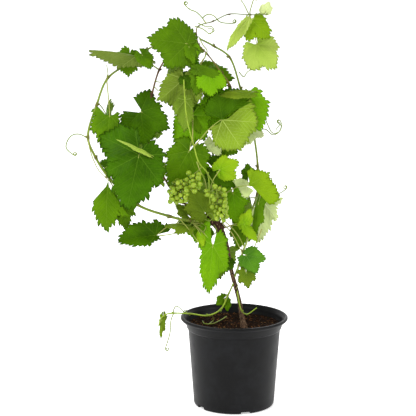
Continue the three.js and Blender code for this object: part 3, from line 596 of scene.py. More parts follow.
# trunk: across, up, depth and radius at each place
trunkForm = dict(
    line=[(18, 128, -12, 6.8), (17, 141, -12, 5.9), (15, 151, -10, 4.5), (8, 189, -3, 3.8),
          (-6, 243, 1, 3.7), (-11, 270, 0, 4.1), (-17, 293, -1, 5.4), (-25, 313, -1, 6.6),
          (-31, 327, -1, 6.0), (-33, 341, 0, 4.4)],
    spur=[(-27, 316, -1, 5.0), (-41, 329, -2, 4.6), (-50, 341, -3, 3.6)],
    knobs=[(-21, 303, -5, 4.0), (-31, 320, -6, 4.2), (-28, 330, 4, 4.0), (-20, 318, -4, 3.2),
           (-36, 336, -3, 3.0), (-44, 333, -4, 3.2), (-14, 284, -3, 3.0), (-30, 311, 3, 3.6),
           (-3, 232, -3, 2.4), (3, 214, 1, 2.6)],
    stubs=[((-30, 330, -3), (-28, 343, -9), 2.1), ((-24, 322, 0), (-16, 331, -5), 1.7),
           ((-40, 331, -3), (-38, 344, -8), 1.8)],
    knobHeight=1.35, ground=141.0, sides=28, stubSides=14, voxel=0.00055, smoothing=6,
    stripDepth=0.00042, stripScale=(620, 62), lumpDepth=0.0007, lumpScale=(150, 90),
    headFrom=0.27, headLength=0.04, headTint=(0.265, 0.315),
    barkScale=520.0, barkStretch=0.13, lightStrips=(0.5, 0.72), crackShow=0.85, barkBump=(0.9, 0.001),
    patchScale=70.0, patchAmount=0.9,
    patches=((98, 76, 58), (136, 108, 82)), head=(84, 56, 44), light=(176, 146, 116), dark=(36, 24, 20),
)


def spotted(line):
    return [place(s[:3]) for s in line], [s[3] / 1000 for s in line]


def radiusOn(radii, u):
    spot = min(u * (len(radii) - 1), len(radii) - 1.0001)
    i = int(spot)
    return radii[i] + (radii[i + 1] - radii[i]) * (spot - i)


def makeBarkMaterial():
    t = trunkForm
    material, shader, spot = newMaterial("trunkBark", roughness=0.88, specular=0.12)
    strips = useGroup(fibre, {"Vector": spot, "Scale": t["barkScale"], "Stretch": t["barkStretch"]})
    # the head is darker and more purple than the stem under it
    patches = mottled(spot, t["patchScale"], t["patchAmount"], *t["patches"])
    shown = blend(span(heightOf(spot), *t["headTint"]), patches, colour(t["head"]))
    shown = blend(span(strips["Strips"], *t["lightStrips"]), shown, colour(t["light"]))
    feed(shader, {"Base Color": blend(times(strips["Cracks"], t["crackShow"]), shown, colour(t["dark"]))})
    bump(shader, strips["Height"], *t["barkBump"])
    return material


def makeTrunk():
    t, heap = trunkForm, newHeap()
    for line, steps in ((t["line"], 70), (t["spur"], 24)):
        points, radii = spotted(line)
        girths = [radiusOn(radii, i / steps) for i in range(steps + 1)]
        addTube(heap, curveRun(points, steps), girths, t["sides"])
    shares = [i / 6 for i in range(7)]
    for start, end, radius in t["stubs"]:
        a, b = place(start), place(end)
        addTube(heap, [a.lerp(b, s) for s in shares], [radius / 1000 * (1.25 - 0.25 * s) for s in shares],
                t["stubSides"])
    trunk = meshPiece("trunk_bark", heap["verts"], heap["faces"], [makeBarkMaterial()])
    with editing(trunk.data) as work:
        for *spot, radius in t["knobs"]:
            made = bmesh.ops.create_icosphere(work, subdivisions=3, radius=radius / 1000)["verts"]
            bmesh.ops.scale(work, vec=(1, 1, t["knobHeight"]), verts=made)
            bmesh.ops.translate(work, vec=place(spot), verts=made)
    remesh = trunk.modifiers.new("oneSkin", "REMESH")
    remesh.mode, remesh.voxel_size, remesh.use_smooth_shade = "VOXEL", t["voxel"], True
    soften = trunk.modifiers.new("soften", "SMOOTH")
    soften.factor, soften.iterations = 0.5, t["smoothing"]
    applyModifiers(trunk)
    with editing(trunk.data) as work:
        # strips of bark: relief that runs lengthwise, deeper on the head
        work.normal_update()
        (stripWide, stripLong), (lumpWide, lumpLong) = t["stripScale"], t["lumpScale"]
        for vert in work.verts:
            p = vert.co
            strip = noise.fractal(Vector((p.x * stripWide, p.y * stripWide, p.z * stripLong)), 0.7, 2.1, 4)
            lump = noise.fractal(Vector((p.x * lumpWide, p.y * lumpWide, p.z * lumpLong + 7)), 0.8, 2.0, 3)
            head = smoothStep((p.z - t["headFrom"]) / t["headLength"])
            relief = t["stripDepth"] * strip * (0.8 + 0.7 * head) + t["lumpDepth"] * lump * (0.35 + head)
            vert.co = p + vert.normal * relief
        every = work.verts[:] + work.edges[:] + work.faces[:]
        cut = bmesh.ops.bisect_plane(work, geom=every, plane_co=(0, 0, t["ground"] / 1000 - 0.004),
                                     plane_no=(0, 0, 1), clear_inner=True)
        rim = [e for e in cut["geom_cut"] if isinstance(e, bmesh.types.BMEdge)]
        bmesh.ops.holes_fill(work, edges=rim, sides=0)
        for face in work.faces:
            face.smooth = True
    return trunk


finish(makeTrunk(), "bark", "trunk")
print("trunk made")


# canes
canes = {
    "outer": dict(nodes=("outer_cane_low", "outer_cane_middle", "outer_cane_top"),
        radii=(2.6, 1.3), finish="caneGreen", bends=[
        (-42, 329, -3), (-78, 329, -14), (-113, 337, -26), (-172, 359, -38), (-220, 407, -40),
        (-241, 440, -34), (-254, 475, -26), (-238, 532, -10), (-218, 578, 0), (-171, 609, 10),
        (-151, 626, 12), (-120, 639, 14), (-69, 649, 6)]),
    "inner": dict(nodes=("inner_cane_low", "inner_cane_top"),
        radii=(2.0, 1.2), finish="caneBrown", bends=[
        (-48, 338, -2), (-67, 341, 4), (-88, 361, 6), (-114, 391, 4), (-147, 456, 4), (-152, 499, 4),
        (-143, 549, 4), (-130, 592, 4), (-118, 611, 2), (-94, 631, -2), (-67, 641, 1)]),
    "main": dict(nodes=("main_cane_low", "main_cane_top", "main_cane_tip"),
        radii=(2.6, 1.2), slimFrom=0.4, finish="caneRipening", bends=[
        (-32, 335, 1), (-29, 352, 10), (-27, 382, 18), (-20, 429, 24), (-8, 473, 28), (-3, 511, 27),
        (-9, 564, 20), (-22, 585, 15), (-48, 619, 8), (-62, 634, 4), (-66, 651, 0), (-64, 665, -2),
        (-38, 674, -4), (-11, 686, -6), (25, 685, -12), (56, 686, -16)]),
    "right": dict(nodes=("right_cane_low", "right_cane_middle", "right_cane_top"),
        radii=(2.0, 1.5), finish="caneGreen", bends=[
        (-1, 225, 2), (8, 250, -10), (15, 274, -12), (24, 300, -4), (28, 341, 10), (39, 375, 20),
        (40, 424, 30), (33, 480, 34), (24, 521, 34), (10, 559, 28), (-10, 614, 16), (-36, 632, 9),
        (-61, 645, 2)]),
    "centre": dict(nodes=("centre_shoot",),
        radii=(1.25, 0.9), finish="shootYoung", bends=[
        (-37, 338, -3), (-42, 350, -10), (-44, 377, -18), (-47, 412, -23), (-62, 431, -26),
        (-71, 461, -28), (-83, 509, -29), (-87, 556, -27), (-88, 575, -24)]),
    "trailing": dict(nodes=("trailing_shoot",),
        radii=(1.5, 1.0), finish="shootYoung", bends=[
        (1, 223, 0), (-11, 196, -10), (-24, 170, -14), (-46, 159, -14), (-77, 162, -6),
        (-108, 163, 0), (-123, 160, 2), (-131, 151, 3), (-134, 140, 3)]),
    "ground": dict(nodes=("ground_shoot",),
        radii=(1.2, 0.9), finish="shootYoung", bends=[
        (4, 212, -1), (8, 186, -10), (13, 168, -12), (22, 161, -6), (40, 173, 4)]),
}
caneForm = dict(
    sides=14, step=0.0024, knuckle=0.42, knuckleLength=0.0042, furrow=0.035, budLength=0.0052,
    budRadius=0.0016, budShape=(0.8, 1.05, 1.08, 0.95, 0.72, 0.42, 0.1), stripeScale=14.0, patchScale=26.0,
    youngerAbove=(0.655, 0.672), palerBelow=(0.29, 0.31), stripeStretch=0.1, lightStripes=(0.5, 0.72),
    patchAmount=0.85, stripeBump=(0.35, 0.0003), knuckleShow=0.85, budTint=0.8, budSides=8,
)
limbSteps = 400
# a slot name, roughness, colours of bark, stripes and knuckles, and any of their own high or low
caneFinishes = {
    "caneGreen": dict(slot="green_cane", roughness=0.5, bark=((108, 134, 34), (134, 152, 54)),
                      stripe=(152, 152, 76), knuckle=(92, 84, 36), low=(172, 192, 104)),
    "caneBrown": dict(slot="brown_cane", roughness=0.6, bark=((88, 60, 38), (118, 84, 50)),
                      stripe=(148, 112, 72), knuckle=(56, 38, 26)),
    "caneRipening": dict(slot="brown_cane", roughness=0.6, bark=((112, 98, 40), (138, 122, 52)),
                         stripe=(160, 146, 76), knuckle=(70, 50, 28), high=(98, 116, 46)),
    "shootYoung": dict(slot="young_shoot", roughness=0.45, bark=((142, 172, 40), (160, 184, 58)),
                       stripe=(182, 200, 92), knuckle=(120, 140, 44)),
}


def caneRadius(cane, u):
    first, last = cane["radii"]
    slim = 1 - 0.4 * smoothStep((u - cane["slimFrom"]) / 0.1) if "slimFrom" in cane else 1
    return (first + (last - first) * u) * slim / 1000


def makeCaneMaterial(name):
    # fine lines along the cane, patches of ripening, and a colour of their own on the knuckles
    f, c = caneFinishes[name], caneForm
    material, shader, spot = newMaterial(name, f["roughness"])
    along = addNode(spot, "ShaderNodeUVMap", uv_map="alongCane").outputs[0]
    lines = useGroup(fibre, {"Vector": along, "Scale": c["stripeScale"], "Stretch": c["stripeStretch"]})
    patches = mottled(spot, c["patchScale"], c["patchAmount"], *f["bark"])
    shown = blend(span(lines["Strips"], *c["lightStripes"]), patches, colour(f["stripe"]))
    if "high" in f:
        shown = blend(span(heightOf(spot), *c["youngerAbove"]), shown, colour(f["high"]))
    if "low" in f:
        shown = blend(span(heightOf(spot), *c["palerBelow"]), colour(f["low"]), shown)
    ring = addNode(spot, "ShaderNodeAttribute", attribute_name="knuckle").outputs["Fac"]
    feed(shader, {"Base Color": blend(ring, shown, colour(f["knuckle"]))})
    bump(shader, lines["Height"], *c["stripeBump"])
    return material


caneMaterials = {name: makeCaneMaterial(name) for name in caneFinishes}


def addUvs(obj, name, spots):
    corners = np.empty(len(obj.data.loops), dtype=np.int32)
    obj.data.loops.foreach_get("vertex_index", corners)
    obj.data.uv_layers.new(name=name).data.foreach_set("uv", spots[corners].ravel())


def makeCane(name, cane):
    c, points, last = caneForm, cane["points"], len(cane["bends"]) - 1
    length = sum((b - a).length for a, b in zip(cane["spots"], cane["spots"][1:]))
    steps = max(24, int(length / c["step"]))
    us = [i / steps for i in range(steps + 1)]
    # a knuckle at each inner bend, where a leaf or tendril leaves
    knuckles = [i / last for i in range(1, last)]
    swell = [math.exp(-(min(abs(u - k) for k in knuckles) * length / c["knuckleLength"]) ** 2) for u in us]
    phase = sum(map(ord, name)) * 0.37

    def relief(angle, i):
        wide, narrow = math.sin(5 * angle + phase + 0.02 * i), math.sin(8 * angle - phase)
        return 1 + c["furrow"] * (wide + 0.6 * narrow)

    heap = newHeap()
    radii = [caneRadius(cane, u) * (1 + c["knuckle"] * s) for u, s in zip(us, swell)]
    addTube(heap, curveRun(points, steps), radii, c["sides"], relief)
    tints = [s for s in swell for _ in range(c["sides"])] + [0.0, 0.0]
    for count, k in enumerate(knuckles):
        # a bud sits on each knuckle, on sides that take turns
        if name == "main" and k < 0.1:
            continue
        centre = curvePoint(points, k)
        ahead = (curvePoint(points, k + 1e-3) - curvePoint(points, k - 1e-3)).normalized()
        aside = ahead.cross(Vector((0, 1, 0.15))).normalized() * (1 if count % 2 else -1)
        radius = caneRadius(cane, k)
        small = min(1.0, radius / c["budRadius"])
        foot = centre + aside * radius * 0.7
        tip = foot + (aside * 0.62 + ahead * 0.78).normalized() * c["budLength"] * small
        rings = len(c["budShape"])
        before = len(heap["verts"])
        addTube(heap, [foot.lerp(tip, i / (rings - 1)) for i in range(rings)],
                [c["budRadius"] * small * v for v in c["budShape"]], c["budSides"])
        tints += [c["budTint"]] * (len(heap["verts"]) - before)
    obj = meshPiece("cane_" + name, heap["verts"], heap["faces"], [caneMaterials[cane["finish"]]])
    addUvs(obj, "alongCane", np.array(heap["uvs"]))
    tint = obj.data.attributes.new("knuckle", "FLOAT", "POINT")
    tint.data.foreach_set("value", [min(1.0, v) * c["knuckleShow"] for v in tints])
    return obj


for name, cane in canes.items():
    cane["points"] = [place(b) for b in cane["bends"]]
    cane["spots"] = curveRun(cane["points"], limbSteps)
    finish(makeCane(name, cane), caneFinishes[cane["finish"]]["slot"], *cane["nodes"])
print("canes made")


# leaves
leafForm = dict(
    thickness=0.42, notchWiden=28, lobeTight=1.15, hub=0.09, rings=(0.16, 0.36, 0.56, 0.76, 0.91),
    toothSpacing=0.105, toothHeight=0.066, toothOut=(0.0, 0.6, 1.0, 0.3), toothForward=(0.0, 0.1, 0.7, 0.4),
    smallTooth=0.15, smallFrom=0.075, smallRange=0.045,  # a leaf shorter than this has fewer teeth
    creaseRound=0.0004, ripple=0.04, bulge=0.034, wave=0.018, droop=(0.08, 0.32), patchScale=34.0,
    toothSizes=(0.8, 1.3, 0.8), toothVary=(0.65, 1.35), edgeThin=0.7, stalkEnd=0.06,
    fewestTeeth=6, teethRise=0.1, marginSteps=240, notchSteps=8,
    sideVeins=8.0, veinNet=24.0, veinBump=(0.5, 0.0007), shadeSpan=(0.08, 0.75),
    # how far a leaf's colour goes from its painted shade to its painted light
    paintedLightShares=(0.55, 0.12, 0.4),  # of being far out, on a swelling and in a patch
    upperLook=(0.44, 0.012, 0.45), underLook=(0.62, 0.017, 0.62),  # roughness, width and show of the veins
)
usualBlade = dict(face=(0, -0.97, 0.2), fold=-0.1, curl=0.35, wide=0.85, notch=169, slope=0.6, stalk=True,
                  left=(0.82, 0.66, 0.5), right=(0.82, 0.66, 0.5))


def blade(tone, at, tip, face=usualBlade["face"], **shape):
    return {**usualBlade, **shape, "tone": tone, "at": at, "tip": tip, "face": face}


def spray(on, base, leaves, **paths):
    return {"on": on, "base": base, "leaves": leaves, "stalks": [], "wisps": [], "tendrils": [], **paths}


# each spray: the limb that it grows on and where, its leaves, and stalks and tendrils of their own course
sprays = {
    "leaves_top": spray("main", (-61, 633, 4), [
        blade("leafy", (-82, 636, -20), (-147, 644, -30), (0.1, -0.95, 0.25), wide=0.95,
            left=(0.87, 0.6, 0.35), right=(0.8, 0.45, 0.25)),
        blade("bright", (-74, 636, -12), (-65, 611, -16), wide=0.6),
        blade("mid", (-79, 631, -22), (-70, 600, -26), (0.4, -0.9, 0.1), wide=0.45),
        blade("vivid", (-74, 607, -14), (-62, 583, -18), (-0.3, -0.9, 0.2), wide=0.5),
        blade("mid", (-90, 620, 42), (-104, 572, 78), (-0.6, 0.4, 0.7), curl=0.6),
    ]),
    "leaves_upper_left": spray("inner", (-130, 592, 2), [
        blade("grey", (-168, 616, -8), (-248, 628, -24), (-0.1, -0.35, 0.95), curl=0.2, fold=-0.55,
            wide=0.9, droop=0, left=(0.46, 0.3, 0.1)),
        blade("mid", (-180, 621, -2), (-185, 583, -6), (0.1, -0.95, 0.3), wide=1, droop=0.06, slope=0.5,
            stalk=False, left=(0.5, 0.25, 0.1), right=(0.66, 0.4, 0.1)),
        blade("mid", (-159, 617, -12), (-144, 594, -16), (0.1, -0.9, 0.4)),
    ], wisps=[
        [(-137, 573, 2), (-131, 571, 0), (-124, 571, -2)],
        [(-139, 563, 2), (-134, 558, 0), (-132, 556, -1)],
        [(-220, 571, -2), (-218, 583, -2), (-220, 600, -4)],
    ]),
    "leaves_left": spray("outer", (-219, 574, 0), [
        blade("mid", (-216, 514, -26), (-222, 452, -34), (-0.15, -0.97, 0.2), notch=118,
            left=(0.4, 0.3, 0.05), right=(0.74, 0.62, 0.05)),
    ]),
    "leaves_left_inner": spray("inner", (-151, 490, 4), [
        blade("deep", (-162, 520, -6), (-116, 490, -12), (0, -0.98, 0.15), wide=0.95, notch=152,
            left=(0.68, 0.8, 0.6), right=(1.1, 0.95, 0.66)),
        blade("mid", (-150, 492, 34), (-160, 438, 74), (-0.7, 0.3, 0.5), curl=0.6),
    ]),
    "leaves_left_front": spray("inner", (-147, 456, 4), [
        blade("rich", (-166, 445, -68), (-188, 350, -70), (0, -0.99, 0.08), wide=0.9,
            left=(0.68, 0.5, 0.25), right=(0.72, 0.88, 0.3)),
        blade("young", (-153, 448, -71), (-203, 470, -80), (0.2, -0.8, 0.6), wide=0.15, droop=0,
            stalk=False, left=(0.6, 0.4, 0.2), right=(0.6, 0.4, 0.2)),
        blade("mid", (-152, 426, 40), (-166, 374, 84), (-0.2, 0.6, 0.75), curl=0.6, wide=0.7),
    ]),
    "leaves_lower_left": spray("outer", (-221, 408, -40), [
        blade("mid", (-220, 401, -48), (-225, 311, -56), (-0.2, -0.95, 0.15), wide=0.8, notch=40,
            slope=0.85, left=(1.1, 0.5, 0.2), right=(0.7, 0.3, 0.15)),
        blade("leafy", (-200, 362, -38), (-188, 313, -40), (0, -0.97, 0.15), wide=0.6),
    ], stalks=[
        [(-254, 475, -27), (-251, 455, -34), (-245, 436, -42), (-235, 416, -46), (-220, 401, -48)],
    ]),
    "leaf_left_small": spray("outer", (-230, 420, -37), [
        blade("deep", (-206, 426, -22), (-234, 432, -18), (0, -0.9, 0.4)),
    ]),
    "leaves_low_left": spray("outer", (-95, 333, -20), [
        blade("deep", (-138, 303, -36), (-203, 291, -50), (0.05, -0.8, 0.6), fold=0.6, wide=1, slope=0.6,
            left=(0.34, 0.12, 0.05), right=(0.45, 0.4, 0.42)),
        blade("olive", (-85, 321, -26), (-122, 318, -34), (0, -0.3, 0.95), wide=0.8),
    ]),
    "leaves_centre_top": spray("centre", (-88, 569, -24), [
        blade("olive", (-88, 576, -15), (-92, 508, -14), (0.05, 0.97, 0.15), fold=0.05, wide=0.8,
            left=(0.9, 0.4, 0.1), right=(0.75, 0.4, 0.1)),
        blade("deep", (-84, 578, -19), (-60, 562, -22), (0.1, -0.95, 0.2), wide=0.7, stalk=False),
        blade("leafy", (-86, 540, -20), (-86, 487, -19), (-0.05, 0.97, 0.15), wide=0.62, stalk=False,
            left=(0.7, 0.3, 0.1), right=(0.5, 0.3, 0.1)),
    ]),
    "leaves_centre_left": spray("centre", (-72, 465, -28), [
        blade("bright", (-74, 514, 2), (-95, 450, 6), wide=0.8, left=(0.8, 0.6, 0.3),
            right=(0.6, 0.5, 0.3)),
        blade("mid", (-79, 452, -12), (-113, 393, -18), wide=0.9, left=(0.9, 0.6, 0.3),
            right=(0.65, 0.5, 0.3)),
        blade("mid", (-72, 521, 4), (-61, 483, 2), (0.1, -0.95, 0.2), wide=0.55),
    ]),
    "leaves_inner_top": spray("main", (-50, 621, 8), [
        blade("bright", (-45, 583, -38), (-40, 547, -42), (0.05, -0.97, 0.15), wide=0.95, droop=0.1,
            notch=110, stalk=False, left=(1.0, 0.62, 0.1), right=(0.82, 0.5, 0.1)),
        blade("leafy", (-62, 595, -26), (-67, 549, -34), (0, -0.97, 0.15), wide=0.62, notch=120,
            left=(0.7, 0.5, 0.1), right=(0.6, 0.5, 0.1)),
        blade("leafy", (-64, 592, -34), (-24, 582, -37), (0, -0.95, 0.3), wide=0.5, droop=0, stalk=False,
            left=(0.6, 0.5, 0.2), right=(0.6, 0.5, 0.2)),
        blade("mid", (-62, 588, 34), (-5, 575, 32), (0.1, -0.85, 0.5), wide=0.9, left=(0.65, 0.3, 0.15),
            right=(0.85, 0.6, 0.5)),
    ]),
    "leaves_right_top": spray("centre", (-71, 460, -28), [
        blade("fresh", (-22, 506, -9), (11, 457, -13), (0, 0.99, 0.05), curl=0.12, fold=0.03, wide=1,
            droop=0, notch=93, slope=0.25, left=(0.5, 0.3, 0.1), right=(1.04, 1.08, 0.5)),
        blade("bright", (5, 546, 0), (45, 492, 0), (0.1, -0.99, 0.05), wide=1, droop=0, notch=84, slope=0.3,
            stalk=False, left=(0.62, 0.2, 0.1), right=(0.4, 0.2, 0.1)),
        # a dark sheet just in front of the fresh leaf, from its stalk point: painted shade over that leaf's
        # upper half
        blade("deep", (-22, 506, -10), (-29, 552, -13), (0, -0.97, -0.2), curl=0.12, wide=1, droop=0,
            notch=68, slope=0.25, stalk=False, left=(0.66, 0.4, 0.1), right=(1.36, 1.3, 0.5)),
        blade("olive", (24, 551, -20), (-24, 549, -24), (0, -0.8, 0.6), curl=0.12, wide=0.34, droop=0,
            slope=0.3, stalk=False, left=(0.6, 0.4, 0.2), right=(0.6, 0.5, 0.2)),
    ]),
    "leaves_centre_right": spray("main", (-12, 460, 27), [
        blade("pale", (-37, 468, 10), (-28, 444, 6), (0, 0.95, 0.1), wide=0.95),
        blade("mid", (-24, 464, 16), (4, 449, 14), wide=1),
    ]),
    "leaves_back_right": spray("main", (-3, 511, 27), [
        blade("bright", (-26, 540, 38), (-50, 488, 34), wide=0.8),
        blade("mid", (2, 516, 66), (14, 466, 100), (0.7, 0.4, 0.6), curl=0.5),
        blade("deep", (-38, 520, 80), (-66, 482, 116), (-0.2, 0.6, 0.75), curl=0.5),
    ]),
    "leaves_middle": spray("main", (-25, 400, 20), [
        blade("lime", (-27, 419, -14), (7, 433, -20), (0, -0.93, 0.35), left=(0.82, 0.55, 0.35),
            right=(0.95, 0.3, 0.2)),
        blade("deep", (-38, 422, 1), (0, 390, -1), wide=0.75),
    ], stalks=[
        [(-26, 419, -15), (-38, 400, -34), (-42, 386, -44)],
        [(-66, 433, -26), (-60, 417, -36), (-52, 401, -44), (-49, 384, -46)],
    ]),
    "leaves_right": spray("main", (-28, 372, 16), [
        blade("fresh", (24, 392, -24), (59, 411, -30), (0.1, -0.9, 0.4), wide=1, notch=71, slope=0.5,
            left=(0.72, 0.3, 0.1), right=(1.45, 0.5, 0.1)),
        blade("pale", (21, 391, -6), (-2, 400, -8), (0, 0.95, 0.1), left=(0.5, 0.4, 0.3),
            right=(0.6, 0.95, 0.6)),
    ]),
    "leaf_right_small": spray("right", (40, 412, 28), [
        blade("deep", (24, 408, 16), (22, 430, 16), wide=0.8),
    ], tendrils=[
        [(48, 416, 26), (56, 408, 20), (60, 400, 14)],
    ]),
    "leaf_right_back": spray("right", (26, 512, 34), [
        blade("mid", (32, 534, 50), (40, 476, 58), (1, 0.15, 0.15), wide=0.7),
    ]),
    "leaf_left_back": spray("outer", (-236, 536, -10), [
        blade("mid", (-222, 514, 12), (-218, 456, 24), (-1, 0.1, 0.1), wide=0.7),
    ]),
    "leaf_right_edge": spray("right", (33, 484, 34), [
        blade("tip", (26, 490, 22), (50, 478, 20), (0, 0.9, 0.3), wide=0.9),
        blade("pale", (22, 480, 16), (12, 460, 12), (0, 0.9, 0.3)),
    ], wisps=[
        [(7, 588, 20), (15, 580, 16), (21, 588, 14), (32, 595, 12)],
        [(52, 508, 22), (66, 483, 20), (78, 487, 18), (81, 501, 18), (71, 489, 18)],
    ], tendrils=[
        [(52, 490, 30), (66, 480, 28), (76, 485, 26), (80, 496, 26), (74, 501, 26)],
    ]),
    "leaves_behind_bunch": spray("main", (-26, 390, 19), [
        blade("bright", (-3, 378, 16), (4, 325, 10), (0, -1, 0.1), wide=0.8, left=(0.68, 0.5, 0.3),
            right=(0.7, 0.5, 0.3)),
        blade("mid", (-36, 396, 52), (-46, 344, 90), (-0.1, 0.6, 0.75), curl=0.6, wide=0.75),
    ]),
    "leaves_heart": spray("inner", (-62, 338, 2), [
        blade("olive", (-52, 344, -16), (-80, 387, -18), (0.1, -1, 0), wide=0.75),
        blade("olive", (-82, 340, 20), (-103, 359, 24), (0, -0.9, 0.4), wide=0.6),
    ]),
    "leaves_right_low": spray("right", (38, 372, 19), [
        blade("pale", (51, 362, 12), (42, 292, 6), (-0.1, 0.95, 0), wide=0.8, slope=0.9,
            left=(0.3, 0.3, 0.1), right=(0.6, 0.55, 0.2)),
        blade("mid", (42, 361, -6), (35, 298, -10), (-0.6, -0.75, 0.1), wide=0.27),
        blade("mid", (22, 366, 54), (16, 318, 80), (0.8, 0.3, 0.5), curl=0.5, wide=0.7),
    ], tendrils=[
        [(58, 372, 6), (74, 376, -6), (81, 379, -8), (90, 386, -8)],
    ]),
    "leaves_low_right": spray("trunk", (-25, 316, -1), [
        blade("lime", (15, 324, -16), (39, 293, -20), (0.3, -0.9, 0.3), wide=0.6, left=(0.3, 0.2, 0.1),
            right=(0.35, 0.25, 0.2)),
        blade("lime", (17, 323, -17), (28, 350, -20), (0.2, -0.9, 0.3), wide=0.6, stalk=False),
        blade("mid", (15, 320, 10), (6, 280, 10), (0, -1, 0.1), wide=0.75),
    ], stalks=[
        [(-22, 326, -4), (-6, 309, -16), (6, 288, -18), (15, 268, -16), (18, 262, -13)],
    ]),
    "leaves_base_right": spray("right", (12, 263, -12), [
        blade("cool", (20, 268, -22), (55, 261, -32), (0.1, -0.95, 0.25), left=(0.72, 0.3, 0.2),
            right=(1.1, 0.7, 0.2)),
        blade("olive", (21, 236, -16), (25, 208, -20), (0.1, -0.9, 0.4), wide=0.9, slope=0.9),
    ], stalks=[
        [(-18, 329, -8), (-3, 315, -16), (10, 297, -18), (19, 275, -16), (22, 265, -13)],
        [(48, 315, -14), (38, 290, -16), (26, 257, -16), (15, 232, -14), (3, 207, -10)],
    ]),
    "leaves_base_centre": spray("outer", (-80, 329, -15), [
        blade("bright", (-38, 286, -36), (-46, 202, -44), (0.05, -0.97, 0.2), wide=0.54, notch=160,
            left=(0.84, 0.56, 0.3), right=(0.5, 0.6, 0.62)),
        blade("bright", (-64, 318, -14), (-67, 290, -24), (-0.2, -0.9, 0.3), wide=0.8),
        blade("bright", (-74, 322, -12), (-81, 304, -22), (0.3, -0.9, 0.3), wide=0.8),
        blade("bright", (-53, 322, -12), (-55, 300, -24), (0.1, -0.9, 0.5), wide=0.8),
        blade("lime", (-59, 304, -30), (-55, 283, -36), (0.1, -0.9, 0.3), wide=0.6),
        blade("bright", (-87, 327, -10), (-97, 316, -14), (0, -0.9, 0.4), wide=0.8),
        blade("olive", (-67, 334, -12), (-76, 345, -18), (0, -0.9, 0.4), wide=0.8),
        blade("mid", (-46, 311, -14), (-41, 297, -18), (0, -0.9, 0.4), wide=0.9),
    ], stalks=[
        [(-99, 336, -24), (-81, 315, -34), (-64, 292, -38)],
        [(-136, 302, -36), (-113, 305, -36), (-85, 312, -30), (-60, 322, -14)],
    ], wisps=[
        [(-50, 336, -14), (-43, 343, -22), (-37, 336, -24), (-44, 329, -22), (-52, 332, -18)],
        [(-36, 322, -10), (-31, 311, -18), (-40, 303, -22), (-46, 312, -20)],
        [(-67, 326, -14), (-74, 312, -24), (-68, 300, -26), (-60, 305, -24)],
        [(-58, 326, -14), (-50, 318, -24), (-56, 309, -28), (-63, 315, -24)],
        [(-72, 330, -16), (-79, 321, -22), (-88, 323, -24)],
    ]),
    "leaf_trunk": spray("trunk", (-10, 262, 0), [
        blade("deep", (-9, 256, -8), (-15, 238, -12)),
        blade("mid", (-18, 270, 36), (-26, 226, 64), (-0.5, 0.5, 0.6), curl=0.5, wide=0.7),
    ]),
    "leaves_basal": spray("trailing", (-16, 184, -10), [
        blade("mid", (-18, 190, -6), (-32, 178, -8), (-0.2, -0.9, 0.2)),
        blade("bright", (-12, 184, -4), (-12, 166, -4), (0.2, -0.9, 0.2), wide=0.6),
    ], wisps=[
        [(-14, 157, 44), (-25, 150, 18), (-39, 144, -4), (-52, 144, -4), (-56, 149, 14)],
        [(-39, 159, -14), (-37, 150, 14), (-46, 143, -8)],
    ]),
    "leaves_top_right": spray("main", (24, 685, -12), [
        blade("young", (25, 682, -26), (-12, 627, -32), (-0.3, 0.9, 0.1), wide=0.34, droop=0.05, notch=100,
            left=(0.12, 0.1, 0.1), right=(0.42, 0.36, 0.2)),
        blade("fresh", (27, 677, -14), (58, 646, -18), (0.1, -0.9, 0.35), wide=0.95, notch=104,
            left=(0.62, 0.2, 0.1), right=(0.85, 0.42, 0.1)),
        blade("young", (37, 636, 0), (69, 595, -8), (0.05, -0.95, 0.25), wide=0.86, notch=140, slope=0.5,
            left=(0.8, 0.3, 0.1), right=(0.95, 0.5, 0.15)),
    ], tendrils=[
        [(25, 690, -12), (27, 698, -12), (32, 713, -10)],
        [(20, 692, -16), (15, 702, -18), (7, 713, -18)],
    ]),
    "shoot_tip_top": spray("main", (50, 686, -15), [
        blade("tip", (52, 691, -16), (57, 707, -19), (0.1, -0.9, 0.3)),
        blade("tip", (47, 691, -10), (44, 701, -8), (-0.2, -0.8, 0.3)),
    ]),
    "shoot_tip_trailing": spray("trailing", (-133, 144, 3), [
        blade("olive", (-128, 151, 2), (-131, 116, 0), (-0.5, -0.8, 0), wide=0.26),
        blade("fresh", (-126, 154, 6), (-129, 129, 8), (0.5, -0.8, 0), wide=0.3),
    ]),
    "tendrils_top": spray("main", (-50, 670, -3), [], wisps=[
        [(-63, 671, -6), (-52, 666, -12), (-40, 665, -14), (-36, 658, -12), (-45, 653, -10)],
        [(-69, 666, -4), (-55, 661, -12), (-43, 653, -16), (-38, 660, -14), (-48, 663, -10)],
        [(-62, 648, -8), (-55, 634, -14), (-48, 624, -12), (-53, 611, -14)],
    ], tendrils=[
        [(-58, 682, -4), (-67, 690, -4), (-77, 694, -4), (-86, 702, -4)],
        [(-55, 680, 4), (-46, 686, 6), (-36, 683, 8), (-26, 673, 10), (-2, 671, 14)],
    ]),
    "tendril_left": spray("outer", (-255, 474, -26), [], tendrils=[
        [(-268, 481, -28), (-280, 480, -32), (-289, 471, -36), (-292, 457, -38), (-279, 445, -38)],
    ]),
    "tendril_trailing": spray("trailing", (-106, 161, 0), [], tendrils=[
        [(-112, 150, -4), (-114, 127, -6), (-118, 112, -6), (-122, 99, -6)],
        [(-107, 170, 4), (-102, 176, 6), (-94, 170, 8), (-89, 165, 8)],
    ]),
}


def bladeReach(degrees, lobes, slope):
    # how far the margin lies from the stalk at an angle to the tip, as a share of the midrib
    best = 0.0
    for i, reach in enumerate(lobes):
        off = min(abs(abs(degrees) - i * ribSpacing) * leafForm["lobeTight"], 88)  # short of a right angle
        best = max(best, reach / (1 + slope * math.tan(math.radians(off))))
    return best


